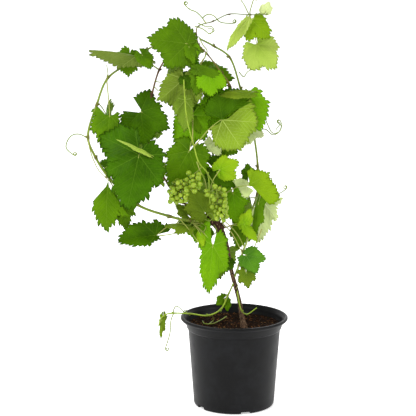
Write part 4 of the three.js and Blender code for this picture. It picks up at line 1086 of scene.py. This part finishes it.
def leafSheet(leaf, draw):
    # the curved sheet that a blade lies on, in shares of its midrib, as a function of arrays
    f, fold, curl, wide = leafForm, leaf["fold"], leaf["curl"], leaf["wide"]
    base = place(leaf["at"])
    chord = place(leaf["tip"]) - base
    length = chord.length * curl / 2 / math.sin(curl / 2)
    ahead = chord.normalized()
    up = Vector(leaf["face"])
    up = (up - ahead * up.dot(ahead)).normalized()
    along = ahead * math.cos(curl / 2) + up * math.sin(curl / 2)
    normal = up * math.cos(curl / 2) - ahead * math.sin(curl / 2)
    phase = draw() * 2 * math.pi
    droop = leaf.get("droop", between(draw, *f["droop"]))
    origin, along, across, normal = (np.array(v) for v in (base, along, normal.cross(along), normal))

    def surface(a, b):
        a, b = np.asarray(a, dtype=float), np.asarray(b, dtype=float)
        angle, out = np.arctan2(b, a), np.hypot(a, b)
        swelling = 0.5 - 0.5 * np.cos(2 * math.pi * np.degrees(angle) / ribSpacing)
        lift = math.sin(fold) * np.sqrt(b * b + f["creaseRound"])
        lift = lift + f["ripple"] * np.sin(3 * angle + phase) * out * out
        lift = lift + f["bulge"] * swelling * np.minimum(out * 2, 1.0)
        lift = lift + f["wave"] * np.sin(11 * angle + phase * 1.7) * out ** 3
        lift = lift - droop * b * b
        forward = np.sin(curl * a) / curl + lift * np.sin(curl * a)
        rise = (np.cos(curl * a) - 1) / curl + lift * np.cos(curl * a)
        return (origin + forward[..., None] * (along * length)
                + (b * math.cos(fold) * wide)[..., None] * (across * length)
                + rise[..., None] * (normal * length))

    return surface, base, length


def toothedSide(leaf, lobes, side, length, draw):
    # one half of the margin from the notch to the tip: as it runs, and with its teeth, which lean forward
    f = leafForm
    degrees = np.linspace(leaf["notch"], 0, f["marginSteps"])
    reach = np.array([bladeReach(d, lobes, leaf["slope"]) for d in degrees])
    x, y = reach * np.cos(np.radians(degrees)), reach * np.sin(np.radians(degrees))
    run = np.concatenate([[0], np.cumsum(np.hypot(np.diff(x), np.diff(y)))])
    small = np.clip((f["smallFrom"] - length) / f["smallRange"], 0, 1)
    spacing = f["toothSpacing"] + (f["smallTooth"] - f["toothSpacing"]) * small
    teeth = max(f["fewestTeeth"], int(round(run[-1] / spacing)))
    at = np.linspace(0, run[-1], teeth * 4 + 1)
    x, y = np.interp(at, run, x), np.interp(at, run, y)
    dx, dy = np.gradient(x), np.gradient(y)
    size = np.hypot(dx, dy) + 1e-9
    height = f["toothHeight"] * (1 + 0.25 * small)
    grow = [height * f["toothSizes"][i % 3] * between(draw, *f["toothVary"]) for i in range(teeth)]
    grow = np.append(np.repeat(grow, 4), 0.0) * np.clip(at / f["teethRise"], 0, 1)
    push, slide = (grow * np.append(np.tile(shape, teeth), 0.0)
                   for shape in (f["toothOut"], f["toothForward"]))
    toothed = x + (-dy * push + dx * slide) / size, (y + (dx * push + dy * slide) / size) * side
    return np.stack([x, y * side], axis=1), np.stack(toothed, axis=1)


def leafOutline(leaf, length, draw):
    # the whole margin, from one side of the stalk's notch round the tip to the other and in to the stalk
    shares = np.linspace(1, 0, leafForm["notchSteps"] + 1)[1:]
    halves, edges = [], []
    for key, side in (("right", -1), ("left", 1)):
        half = toothedSide(leaf, (1.0, *leaf[key]), side, length, draw)
        halves.append(half)
        # the notch is wider inside than at its mouth, as its two edges swing apart towards the stalk
        x, y = half[0][0]
        turn = -side * (np.radians(leafForm["notchWiden"]) * (1 - shares))
        edges.append(np.stack([(x * np.cos(turn) - y * np.sin(turn)) * shares,
                               (x * np.sin(turn) + y * np.cos(turn)) * shares], axis=1))
    return [np.concatenate([first, second[::-1][1:], edges[1], edges[0][::-1][1:]])
            for first, second in zip(*halves)]


def addLeaf(heap, leaf, draw, tone):
    surface, base, length = leafSheet(leaf, draw)
    vary = seeded(int(abs(base.x * 9e5 + base.z * 7e5 + base.y * 3e5)) + 5)
    plain, rim = leafOutline(leaf, length, vary)
    hub, shares, count = np.array([leafForm["hub"], 0.0]), leafForm["rings"], len(rim)
    inner = [hub + (plain + (rim - plain) * s ** 3 - hub) * s for s in shares]
    inner = np.concatenate([hub[None, :]] + inner)
    (a, b), step = inner.T, 0.004
    normals = np.cross(surface(a + step, b) - surface(a - step, b),
                       surface(a, b + step) - surface(a, b - step))
    normals /= np.linalg.norm(normals, axis=1)[:, None] + 1e-12
    taper = [np.full(count, 1 - s ** 4 * leafForm["edgeThin"]) for s in shares]
    taper = np.concatenate([[1.0]] + taper)[:, None]
    spots, offset = surface(a, b), normals * (leafForm["thickness"] / 2000) * taper
    start, m = heap["count"], len(inner)
    heap["count"] += 2 * m + count
    heap["verts"] += [spots + offset, spots - offset, surface(*rim.T)]
    heap["uvs"] += [inner, inner, rim]
    j = np.arange(count)
    k = (j + 1) % count
    for layer, middle in enumerate((start, start + m)):
        # a fan round the stalk's end, then bands out to the rim, which both sides share
        rings = [middle + 1 + i * count for i in range(len(shares))] + [start + 2 * m]
        sets = [(np.full(count, middle), rings[0] + j, rings[0] + k)]
        for low, high in zip(rings, rings[1:]):
            sets += [(low + j, high + j, high + k), (low + j, high + k, low + k)]
        faces = np.concatenate([np.stack(corners, axis=1) for corners in sets])[:, ::(-1 if layer else 1)]
        heap["faces"].append(faces)
        heap["materials"].append(np.full(len(faces), tone + layer, dtype=np.int32))
    return base, length, Vector(surface(leafForm["stalkEnd"], 0.0))


# a leaf's colours as they show in soft light: its upper side in painted light, far from the stalk, and in
# painted shade, the veins there, the underside and its veins
tones = {
    "deep": ((66, 106, 3), (38, 70, 2), (100, 134, 30), (96, 130, 24), (140, 166, 64)),
    "rich": ((60, 102, 3), (35, 66, 2), (94, 134, 30), (96, 134, 22), (150, 174, 74)),
    "mid": ((86, 126, 4), (56, 92, 3), (118, 152, 40), (108, 140, 30), (150, 174, 76)),
    "leafy": ((80, 118, 6), (56, 88, 4), (112, 144, 40), (108, 138, 34), (150, 172, 78)),
    "vivid": ((78, 136, 3), (46, 92, 2), (116, 160, 40), (112, 152, 34), (156, 184, 82)),
    "bright": ((108, 158, 6), (80, 130, 4), (144, 182, 52), (132, 166, 42), (172, 194, 90)),
    "lime": ((138, 172, 20), (110, 158, 8), (168, 198, 66), (152, 188, 54), (186, 208, 104)),
    "fresh": ((122, 156, 12), (96, 132, 6), (160, 186, 66), (126, 156, 36), (180, 202, 102)),
    "olive": ((108, 132, 26), (76, 104, 14), (138, 158, 64), (112, 138, 38), (150, 170, 80)),
    "grey": ((106, 124, 48), (76, 98, 26), (136, 152, 78), (106, 128, 46), (146, 162, 86)),
    "cool": ((84, 136, 24), (50, 98, 12), (136, 172, 84), (118, 156, 62), (158, 184, 104)),
    "young": ((164, 188, 80), (136, 166, 50), (186, 204, 100), (164, 190, 74), (194, 210, 120)),
    "pale": ((204, 222, 142), (176, 202, 104), (220, 230, 172), (204, 222, 144), (222, 232, 178)),
    "tip": ((206, 218, 152), (186, 204, 122), (216, 224, 172), (206, 218, 156), (216, 224, 178)),
}


def makeLeafMaterial(name, main, shade, vein, under=False):
    # darker with painted shade round the stalk and along the ribs, clearer with painted light towards the
    # margin and between the veins
    f = leafForm
    roughness, ribWidth, veinShow = f["underLook"] if under else f["upperLook"]
    material, shader, spot = newMaterial(name, specular=0.03)
    plane = addNode(spot, "ShaderNodeUVMap", uv_map="leafPlane").outputs[0]
    lines = useGroup(leafVeins, {"Vector": plane, "Rib width": ribWidth, "Side veins": f["sideVeins"],
                                 "Net": f["veinNet"]})
    patches = useGroup(mottle, {"Vector": spot, "Scale": f["patchScale"], "Amount": 1.0})["Mask"]
    # clear is the share of painted light over painted shade: far out, on a swelling between veins and in a
    # patch
    byOut, bySwell, byPatch = f["paintedLightShares"]
    clear = maths("ADD", times(span(lines["Out"], *f["shadeSpan"]), byOut), times(lines["Swell"], bySwell))
    clear = maths("ADD", clear, times(patches, byPatch), clamp=True)
    body = blend(clear, colour(shade), colour(main))
    feed(shader, {"Base Color": blend(times(lines["Veins"], veinShow), body, colour(vein)),
                  "Roughness": span(patches, 0.0, 1.0, roughness - 0.05, roughness + 0.08, smooth=False)})
    bump(shader, lines["Height"], *f["veinBump"], invert=under)
    return material


leafFinishes, toneIndex = [], {}
for tone, (upper, shade, vein, under, underVein) in tones.items():
    toneIndex[tone] = len(leafFinishes)
    # the underside's painted shade is its own colour darkened by a fifth
    underShade, label = tuple(v * 0.8 for v in under), "leaf" + tone.title()
    leafFinishes += [makeLeafMaterial(label, upper, shade, vein),
                     makeLeafMaterial(label + "Under", under, underShade, underVein, under=True)]


# sprays: each stem, its stalks, leaves and tendrils, with radii in millimetres
sprayForm = dict(forkReach=9, stalkBase=1.05, stalkTip=0.62, stemExtra=0.35, tendril=0.95, tendrilTip=0.7,
                 curlTurns=1.4, curlSize=0.0034, stemSteps=6, bendSteps=6, stalkSteps=18, tendrilSteps=5,
                 crownRise=0.08, curlTighten=0.55, curlDrift=0.0009, slimmest=0.55, fullLength=0.06)
trunkPoints, trunkRadii = spotted(trunkForm["line"])
limbs = {"trunk": [(p, radiusOn(trunkRadii, i / limbSteps))
                   for i, p in enumerate(curveRun(trunkPoints, limbSteps))]}
for name, cane in canes.items():
    limbs[name] = [(p, caneRadius(cane, i / limbSteps)) for i, p in enumerate(cane["spots"])]


def leave(limb, near, target):
    # where a stem sets out: just inside the limb's surface, nearest to a place on it
    point, radius = min(limbs[limb], key=lambda s: (s[0] - near).length)
    return point + (target - point).normalized() * radius * 0.4


pathHeap = {"stalks": [], "tendrils": [], "bunchStems": []}


def addPath(kind, points, first, last, steps):
    pathHeap[kind].append([(p, (first + (last - first) * min(1.0, i / steps * 1.15)) / 1000)
                           for i, p in enumerate(curveRun(points, steps))])


def addCurl(points, draw):
    # a tendril's end winds up on itself
    turns, size = sprayForm["curlTurns"], sprayForm["curlSize"]
    end, ahead = points[-1], (points[-1] - points[-2]).normalized()
    aside = ahead.cross(Vector((0.2, 1, 0.3))).normalized() * (1 if draw() > 0.5 else -1)
    centre = end + aside * size
    made = []
    count = int(turns * 10)
    for i in range(1, count + 1):
        angle = 2 * math.pi * turns * i / count
        radius = size * (1 - sprayForm["curlTighten"] * i / count)
        made.append(centre - aside * radius * math.cos(angle) + ahead * radius * math.sin(angle)
                    + Vector((0, -sprayForm["curlDrift"] * i / 3, 0)))
    return made


leafGroups = {
    "leaves_top_group": ("leaves_top", "leaves_upper_left", "leaves_inner_top", "leaves_top_right",
                         "shoot_tip_top", "leaves_centre_top"),
    "leaves_left_group": ("leaves_left", "leaves_left_inner", "leaves_left_front", "leaves_lower_left",
                          "leaf_left_small", "leaf_left_back", "leaves_low_left"),
    "leaves_middle_group": ("leaves_centre_left", "leaves_right_top", "leaves_centre_right",
                            "leaves_back_right", "leaves_middle", "leaf_right_edge", "leaf_right_back"),
    "leaves_right_group": ("leaves_right", "leaf_right_small", "leaves_behind_bunch", "leaves_heart",
                           "leaves_right_low", "leaves_low_right"),
    "leaves_foot_group": ("leaves_base_right", "leaves_base_centre", "leaf_trunk", "leaves_basal",
                          "shoot_tip_trailing"),
}
leafHeaps = {group: {**newHeap(), "materials": [], "count": 0} for group in leafGroups}
groupOf = {name: group for group, names in leafGroups.items() for name in names}


def growSpray(name, spray, seed):
    draw, f, leaves = seeded(seed), sprayForm, spray["leaves"]
    made = [addLeaf(leafHeaps[groupOf[name]], leaf, draw, toneIndex[leaf["tone"]]) for leaf in leaves]
    for kind, bendLists, first, last in (("stalks", spray["stalks"], f["stalkBase"], f["stalkTip"]),
                                         ("tendrils", spray["wisps"], f["tendril"], f["tendrilTip"])):
        for bends in bendLists:
            addPath(kind, [place(p) for p in bends], first, last, len(bends) * f["bendSteps"])
    ends = [[place(p) for p in bends] for bends in spray["tendrils"]]
    targets = [m[0] for m in made] + [e[0] for e in ends]
    middle = sum(targets, Vector()) / len(targets)
    root = leave(spray["on"], place(spray["base"]), middle)
    fork = root
    if len(targets) > 1:
        fork = root.lerp(middle, min(0.35, f["forkReach"] / 1000 / (middle - root).length))
        addPath("stalks", [root, root.lerp(fork, 0.5), fork, fork.lerp(middle, 0.03)],
                f["stalkBase"] + f["stemExtra"], f["stalkBase"], f["stemSteps"])
    for leaf, (leafBase, length, sunk) in zip(leaves, made):
        if leaf["stalk"]:
            slim = f["slimmest"] + (1 - f["slimmest"]) * min(1.0, length / f["fullLength"])
            crown = fork.lerp(leafBase, 0.5)
            crown.z += (leafBase - fork).length * f["crownRise"]
            radii = f["stalkBase"] * slim, f["stalkTip"] * slim
            addPath("stalks", [fork, crown, leafBase, sunk], *radii, f["stalkSteps"])
    for i, bends in enumerate(ends):
        curl = addCurl(bends, draw) if name.startswith("tendril") or i == 0 else []
        run = bends + curl
        addPath("tendrils", [fork] + run, f["tendril"], f["tendrilTip"], len(run) * f["tendrilSteps"])


for seed, (name, plan) in enumerate(sprays.items(), 1):
    growSpray(name, plan, seed)


def makeLeafPiece(name, heap):
    verts, faces, uvs, materials = (np.concatenate(heap[k]) for k in ("verts", "faces", "uvs", "materials"))
    obj = meshPiece(name, verts.tolist(), faces.tolist(), leafFinishes, materials)
    addUvs(obj, "leafPlane", uvs)
    return obj


for group, names in leafGroups.items():
    finish(makeLeafPiece(group, leafHeaps[group]), "foliage", *names)
print("leaves made")


# stalks and tendrils: one tree makes a round tube along each path
def makeTubeTree():
    tree, given, made = newGroup("tubeAlongPath",
                                 {"Geometry": "Geometry", "Sides": 8, "Finish": "Material"},
                                 {"Geometry": "Geometry"})
    girth = addNode(tree, "GeometryNodeInputNamedAttribute", {"Name": "girth"}, data_type="FLOAT")
    curve = addNode(tree, "GeometryNodeMeshToCurve", {"Mesh": given["Geometry"]})
    ring = addNode(tree, "GeometryNodeCurvePrimitiveCircle", {"Resolution": given["Sides"], "Radius": 1.0})
    tube = addNode(tree, "GeometryNodeCurveToMesh",
                   {"Curve": curve, "Profile Curve": ring, "Scale": girth, "Fill Caps": True})
    smooth = addNode(tree, "GeometryNodeSetShadeSmooth", {"Geometry": tube})
    real = addNode(tree, "GeometryNodeRealizeInstances", {"Geometry": smooth})
    dressed = addNode(tree, "GeometryNodeSetMaterial", {"Geometry": real, "Material": given["Finish"]})
    feed(made, {"Geometry": dressed})
    return tree


tubeTree = makeTubeTree()


def guideMesh(name, verts, edges, **attributes):
    # points and edges for a tree to work on, with numbers or directions on the points
    mesh = bpy.data.meshes.new(name)
    mesh.from_pydata([tuple(v) for v in verts], edges, [])
    for label, values in attributes.items():
        if isinstance(values[0], float):
            mesh.attributes.new(label, "FLOAT", "POINT").data.foreach_set("value", values)
        else:
            flat = [v for vector in values for v in vector]
            mesh.attributes.new(label, "FLOAT_VECTOR", "POINT").data.foreach_set("vector", flat)
    return linked(name, mesh)


def tubesAlong(name, paths, sides, material):
    verts, edges, girths = [], [], []
    for path in paths:
        edges += [(len(verts) + i, len(verts) + i + 1) for i in range(len(path) - 1)]
        verts += [p for p, _ in path]
        girths += [r for _, r in path]
    guide = guideMesh(name + "Paths", verts, edges, girth=girths)
    made = runTree(guide, tubeTree, {"Sides": sides, "Finish": material})
    drop(guide)
    made.name = name
    return linked(name, made)


stalkForm = dict(patchScale=60.0, patchAmount=0.9, fineScale=700.0, fineStretch=0.3, bump=(0.3, 0.0002),
                 stalkSides=8, tendrilSides=6, stalk=((140, 160, 62), (160, 156, 86)),
                 tendril=((112, 136, 44), (138, 152, 70)))


def makeStalkMaterial(name, first, second):
    f = stalkForm
    material, shader, spot = newMaterial(name)
    lines = useGroup(fibre, {"Vector": spot, "Scale": f["fineScale"], "Stretch": f["fineStretch"]})
    feed(shader, {"Base Color": mottled(spot, f["patchScale"], f["patchAmount"], first, second)})
    bump(shader, lines["Height"], *f["bump"])
    return material


stalks = tubesAlong("stalks", pathHeap["stalks"], stalkForm["stalkSides"],
                    makeStalkMaterial("stalkGreen", *stalkForm["stalk"]))
tendrils = tubesAlong("tendrils", pathHeap["tendrils"], stalkForm["tendrilSides"],
                      makeStalkMaterial("tendrilGreen", *stalkForm["tendril"]))
finish(stalks, "foliage", *[n for n in sprays if not n.startswith("tendril")])
finish(tendrils, "young_foliage", *[n for n, s in sprays.items() if s["tendrils"]])
print("stalks and tendrils made")


# bunches
bunches = {
    "bunch_left": dict(on="inner", base=(-88, 361, 6), top=(-92, 402, -42), bottom=(-102, 366, -44),
                       width=34, branches=16),
    "bunch_left_upper": dict(on="centre", base=(-56, 425, -25), top=(-71, 410, -46), bottom=(-68, 388, -48),
                             width=21, branches=7),
    "bunch_right": dict(on="centre", base=(-47, 412, -23), top=(-34, 391, -46), bottom=(-19, 333, -48),
                        width=37, branches=17),
}
bunchForm = dict(
    berryRadius=4.6, berrySize=(0.74, 1.1), packTurns=60, packGap=0.97, segments=16, rings=10,
    stem=(1.1, 0.6), branch=(0.6, 0.45), footstalk=(0.42, 0.5), stemSteps=24, branchSteps=6,
    footstalkSteps=4, branchReach=(0.5, 1.1), branchDrop=(0.15, 0.65), branchStray=1.1, branchArch=0.001,
    fewest=2, more=2.6, berryLean=(-0.9, 0.7), berryOut=1.3, footstalkArch=0.0008, dotDrop=0.004,
    patchScale=180.0, patchAmount=0.8, bloomScale=420.0, bloomSpan=(0.5, 0.75), bloomShow=0.14,
    dotRadius=0.1, dotReach=0.97,
    skin=((116, 146, 20), (160, 182, 52)), bloom=(176, 192, 112), dot=(112, 104, 52),
    stems=((118, 140, 44), (146, 156, 74)),
)


def settleBerries(spots, radii):
    # berries that overlap push each other apart
    for _ in range(bunchForm["packTurns"]):
        for i in range(len(spots)):
            for j in range(i):
                gap = spots[i] - spots[j]
                need = (radii[i] + radii[j]) * bunchForm["packGap"]
                if gap.length < need:
                    shove = gap.normalized() * (need - gap.length) * 0.5
                    spots[i] = spots[i] + shove
                    spots[j] = spots[j] - shove
    return spots


def growBunch(bunch, seed):
    draw, f = seeded(seed), bunchForm
    berry = f["berryRadius"] / 1000
    goldenTurn = math.pi * (3 - math.sqrt(5))
    head, foot = place(bunch["top"]), place(bunch["bottom"])
    root = leave(bunch["on"], place(bunch["base"]), head)
    stem = [root, root.lerp(head, 0.6), head, head.lerp(foot, 0.5), foot]
    addPath("bunchStems", stem, *f["stem"], f["stemSteps"])
    branchRise, footstalkRise = Vector((0, 0, f["branchArch"])), Vector((0, 0, f["footstalkArch"]))
    spots, radii, joints = [], [], []
    for i in range(bunch["branches"]):
        # a branchlet leaves the stem and bears a few berries round its end
        down = (i + 0.4) / bunch["branches"]
        start = head.lerp(foot, down * 0.95)
        shoulder = math.sin(math.pi * min(1, 0.3 + 0.66 * down)) * 0.7 + 0.3
        reach = (bunch["width"] / 2000 - berry) * shoulder * between(draw, *f["branchReach"])
        turn = i * goldenTurn + draw() * f["branchStray"]
        end = start + Vector((math.cos(turn), math.sin(turn), -between(draw, *f["branchDrop"]))) * reach
        branch = [start, start.lerp(end, 0.5) + branchRise, end]
        addPath("bunchStems", branch, *f["branch"], f["branchSteps"])
        for _ in range(f["fewest"] + int(draw() * f["more"])):
            radius = berry * between(draw, *f["berrySize"])
            around, lean = draw() * 2 * math.pi, between(draw, *f["berryLean"])
            aside = (math.cos(around) * math.cos(lean), math.sin(around) * math.cos(lean), math.sin(lean))
            spots.append(end + Vector(aside) * radius * f["berryOut"])
            radii.append(radius)
            joints.append(end)
    spots = settleBerries(spots, radii)
    for spot, joint in zip(spots, joints):
        middle = joint.lerp(spot, 0.5) + footstalkRise
        addPath("bunchStems", [joint, middle, spot], *f["footstalk"], f["footstalkSteps"])
    # a berry's dot faces away from its joint and a little down
    outward = [spot - joint - Vector((0, 0, f["dotDrop"])) for spot, joint in zip(spots, joints)]
    return zip(spots, radii, outward)


def makeBerryTree():
    # one berry, with the dot that its flower left, on every point, turned and sized by the point
    tree, given, made = newGroup(
        "berriesOnPoints",
        {"Geometry": "Geometry", "Segments": 14, "Rings": 9, "Finish": "Material",
         "Dot finish": "Material"},
        {"Geometry": "Geometry"})
    size = addNode(tree, "GeometryNodeInputNamedAttribute", {"Name": "girth"}, data_type="FLOAT")
    facing = addNode(tree, "GeometryNodeInputNamedAttribute", {"Name": "outward"}, data_type="FLOAT_VECTOR")
    turn = addNode(tree, "FunctionNodeAlignRotationToVector", {"Vector": facing}, axis="Z")
    ball = addNode(tree, "GeometryNodeMeshUVSphere",
                   {"Segments": given["Segments"], "Rings": given["Rings"], "Radius": 1.0})
    skin = addNode(tree, "GeometryNodeSetMaterial", {"Geometry": ball, "Material": given["Finish"]})
    dot = addNode(tree, "GeometryNodeMeshIcoSphere", {"Radius": bunchForm["dotRadius"], "Subdivisions": 1})
    out = (0, 0, bunchForm["dotReach"])
    moved = addNode(tree, "GeometryNodeTransform", {"Geometry": dot, "Translation": out})
    scar = addNode(tree, "GeometryNodeSetMaterial", {"Geometry": moved, "Material": given["Dot finish"]})
    berry = tree.nodes.new("GeometryNodeJoinGeometry")
    feed(berry, {0: skin})
    feed(berry, {0: scar})
    placed = addNode(tree, "GeometryNodeInstanceOnPoints",
                     {"Points": given["Geometry"], "Instance": berry, "Rotation": turn, "Scale": size})
    real = addNode(tree, "GeometryNodeRealizeInstances", {"Geometry": placed})
    feed(made, {"Geometry": addNode(tree, "GeometryNodeSetShadeSmooth", {"Geometry": real})})
    return tree


def makeBerryMaterial():
    f = bunchForm
    material, shader, spot = newMaterial("berrySkin", specular=0.3, Subsurface_Weight=0.15,
                                         Subsurface_Scale=0.002)
    dusty = times(span(clouds(spot, f["bloomScale"], 5.0), *f["bloomSpan"]), f["bloomShow"])
    skin = mottled(spot, f["patchScale"], f["patchAmount"], *f["skin"])
    feed(shader, {"Base Color": blend(dusty, skin, colour(f["bloom"])),
                  "Roughness": span(dusty, 0.0, 0.35, 0.3, 0.52, smooth=False)})
    return material


berrySpots = []
for seed, bunch in enumerate(bunches.values(), len(sprays) + 1):
    berrySpots += growBunch(bunch, seed)
spots, girths, outward = zip(*berrySpots)
guide = guideMesh("berryPoints", spots, [], girth=girths, outward=outward)
dotFinish, _, _ = newMaterial("berryDot", roughness=0.8, specular=0.5, Base_Color=colour(bunchForm["dot"]))
made = runTree(guide, makeBerryTree(), {"Segments": bunchForm["segments"], "Rings": bunchForm["rings"],
                                        "Finish": makeBerryMaterial(), "Dot finish": dotFinish})
drop(guide)
made.name = "berries"
finish(linked("berries", made), "grapes", *bunches)
bunchStemFinish = makeStalkMaterial("bunchStem", *bunchForm["stems"])
finish(tubesAlong("bunch_stems", pathHeap["bunchStems"], 6, bunchStemFinish), "grapes", *bunches)
print("bunches made")


# floor, light and camera
stageForm = dict(width=14.0, front=-9.0, back=2.6, bend=1.6, bendSteps=12, rise=3.0, sink=0.0004,
                 floor=(0.93, 0.93, 0.93, 1.0), glow=0.45, sky=0.53)
lights = {  # place, aim, size and power
    "softLeft": ((-1.7, -1.5, 2.3), (0, 0, 0.35), 1.3, 60),
    "softRight": ((2.1, -1.3, 1.6), (0, 0, 0.35), 1.6, 26),
    "softBack": ((0.3, 1.9, 2.3), (0, 0, 0.4), 1.6, 32),
}
view = dict(spot=(-0.0464, -2.08, 0.688), down=9.18, lens=104.4, sensor=36.0)


def makeStage():
    # a plain pale sheet that curves up behind
    s = stageForm
    line = [(s["front"], 0.0), (s["back"], 0.0)]
    for i in range(1, s["bendSteps"] + 1):
        angle = math.pi / 2 * i / s["bendSteps"]
        line.append((s["back"] + s["bend"] * math.sin(angle), s["bend"] * (1 - math.cos(angle))))
    line.append((s["back"] + s["bend"], s["rise"] + s["bend"]))
    verts = [(side * s["width"] / 2, y, z - s["sink"]) for y, z in line for side in (-1, 1)]
    faces = [(2 * i, 2 * i + 1, 2 * i + 3, 2 * i + 2) for i in range(len(line) - 1)]
    material, _, _ = newMaterial("paleFloor", roughness=0.9, specular=0.1, Base_Color=s["floor"],
                                 Emission_Color=(1.0, 1.0, 1.0, 1.0), Emission_Strength=s["glow"])
    return meshPiece("stage_floor", verts, faces, [material])


makeStage()
for name, (spot, aim, size, power) in lights.items():
    data = bpy.data.lights.new(name, "AREA")
    data.shape, data.size, data.energy = "SQUARE", size, power
    light = linked(name, data)
    light.location = spot
    light.rotation_euler = (Vector(aim) - Vector(spot)).to_track_quat("-Z", "Y").to_euler()
scene.world = bpy.data.worlds.new("studio")
scene.world.use_nodes = True
feed(scene.world.node_tree.nodes["Background"], {0: (1.0, 1.0, 1.0, 1.0), 1: stageForm["sky"]})
scene.view_settings.view_transform = "Standard"

lens = bpy.data.cameras.new("camera")
lens.lens, lens.sensor_width = view["lens"], view["sensor"]
scene.camera = linked("camera", lens)
scene.camera.location = view["spot"]
scene.camera.rotation_euler = (math.radians(90 - view["down"]), 0, 0)
print("stage made")
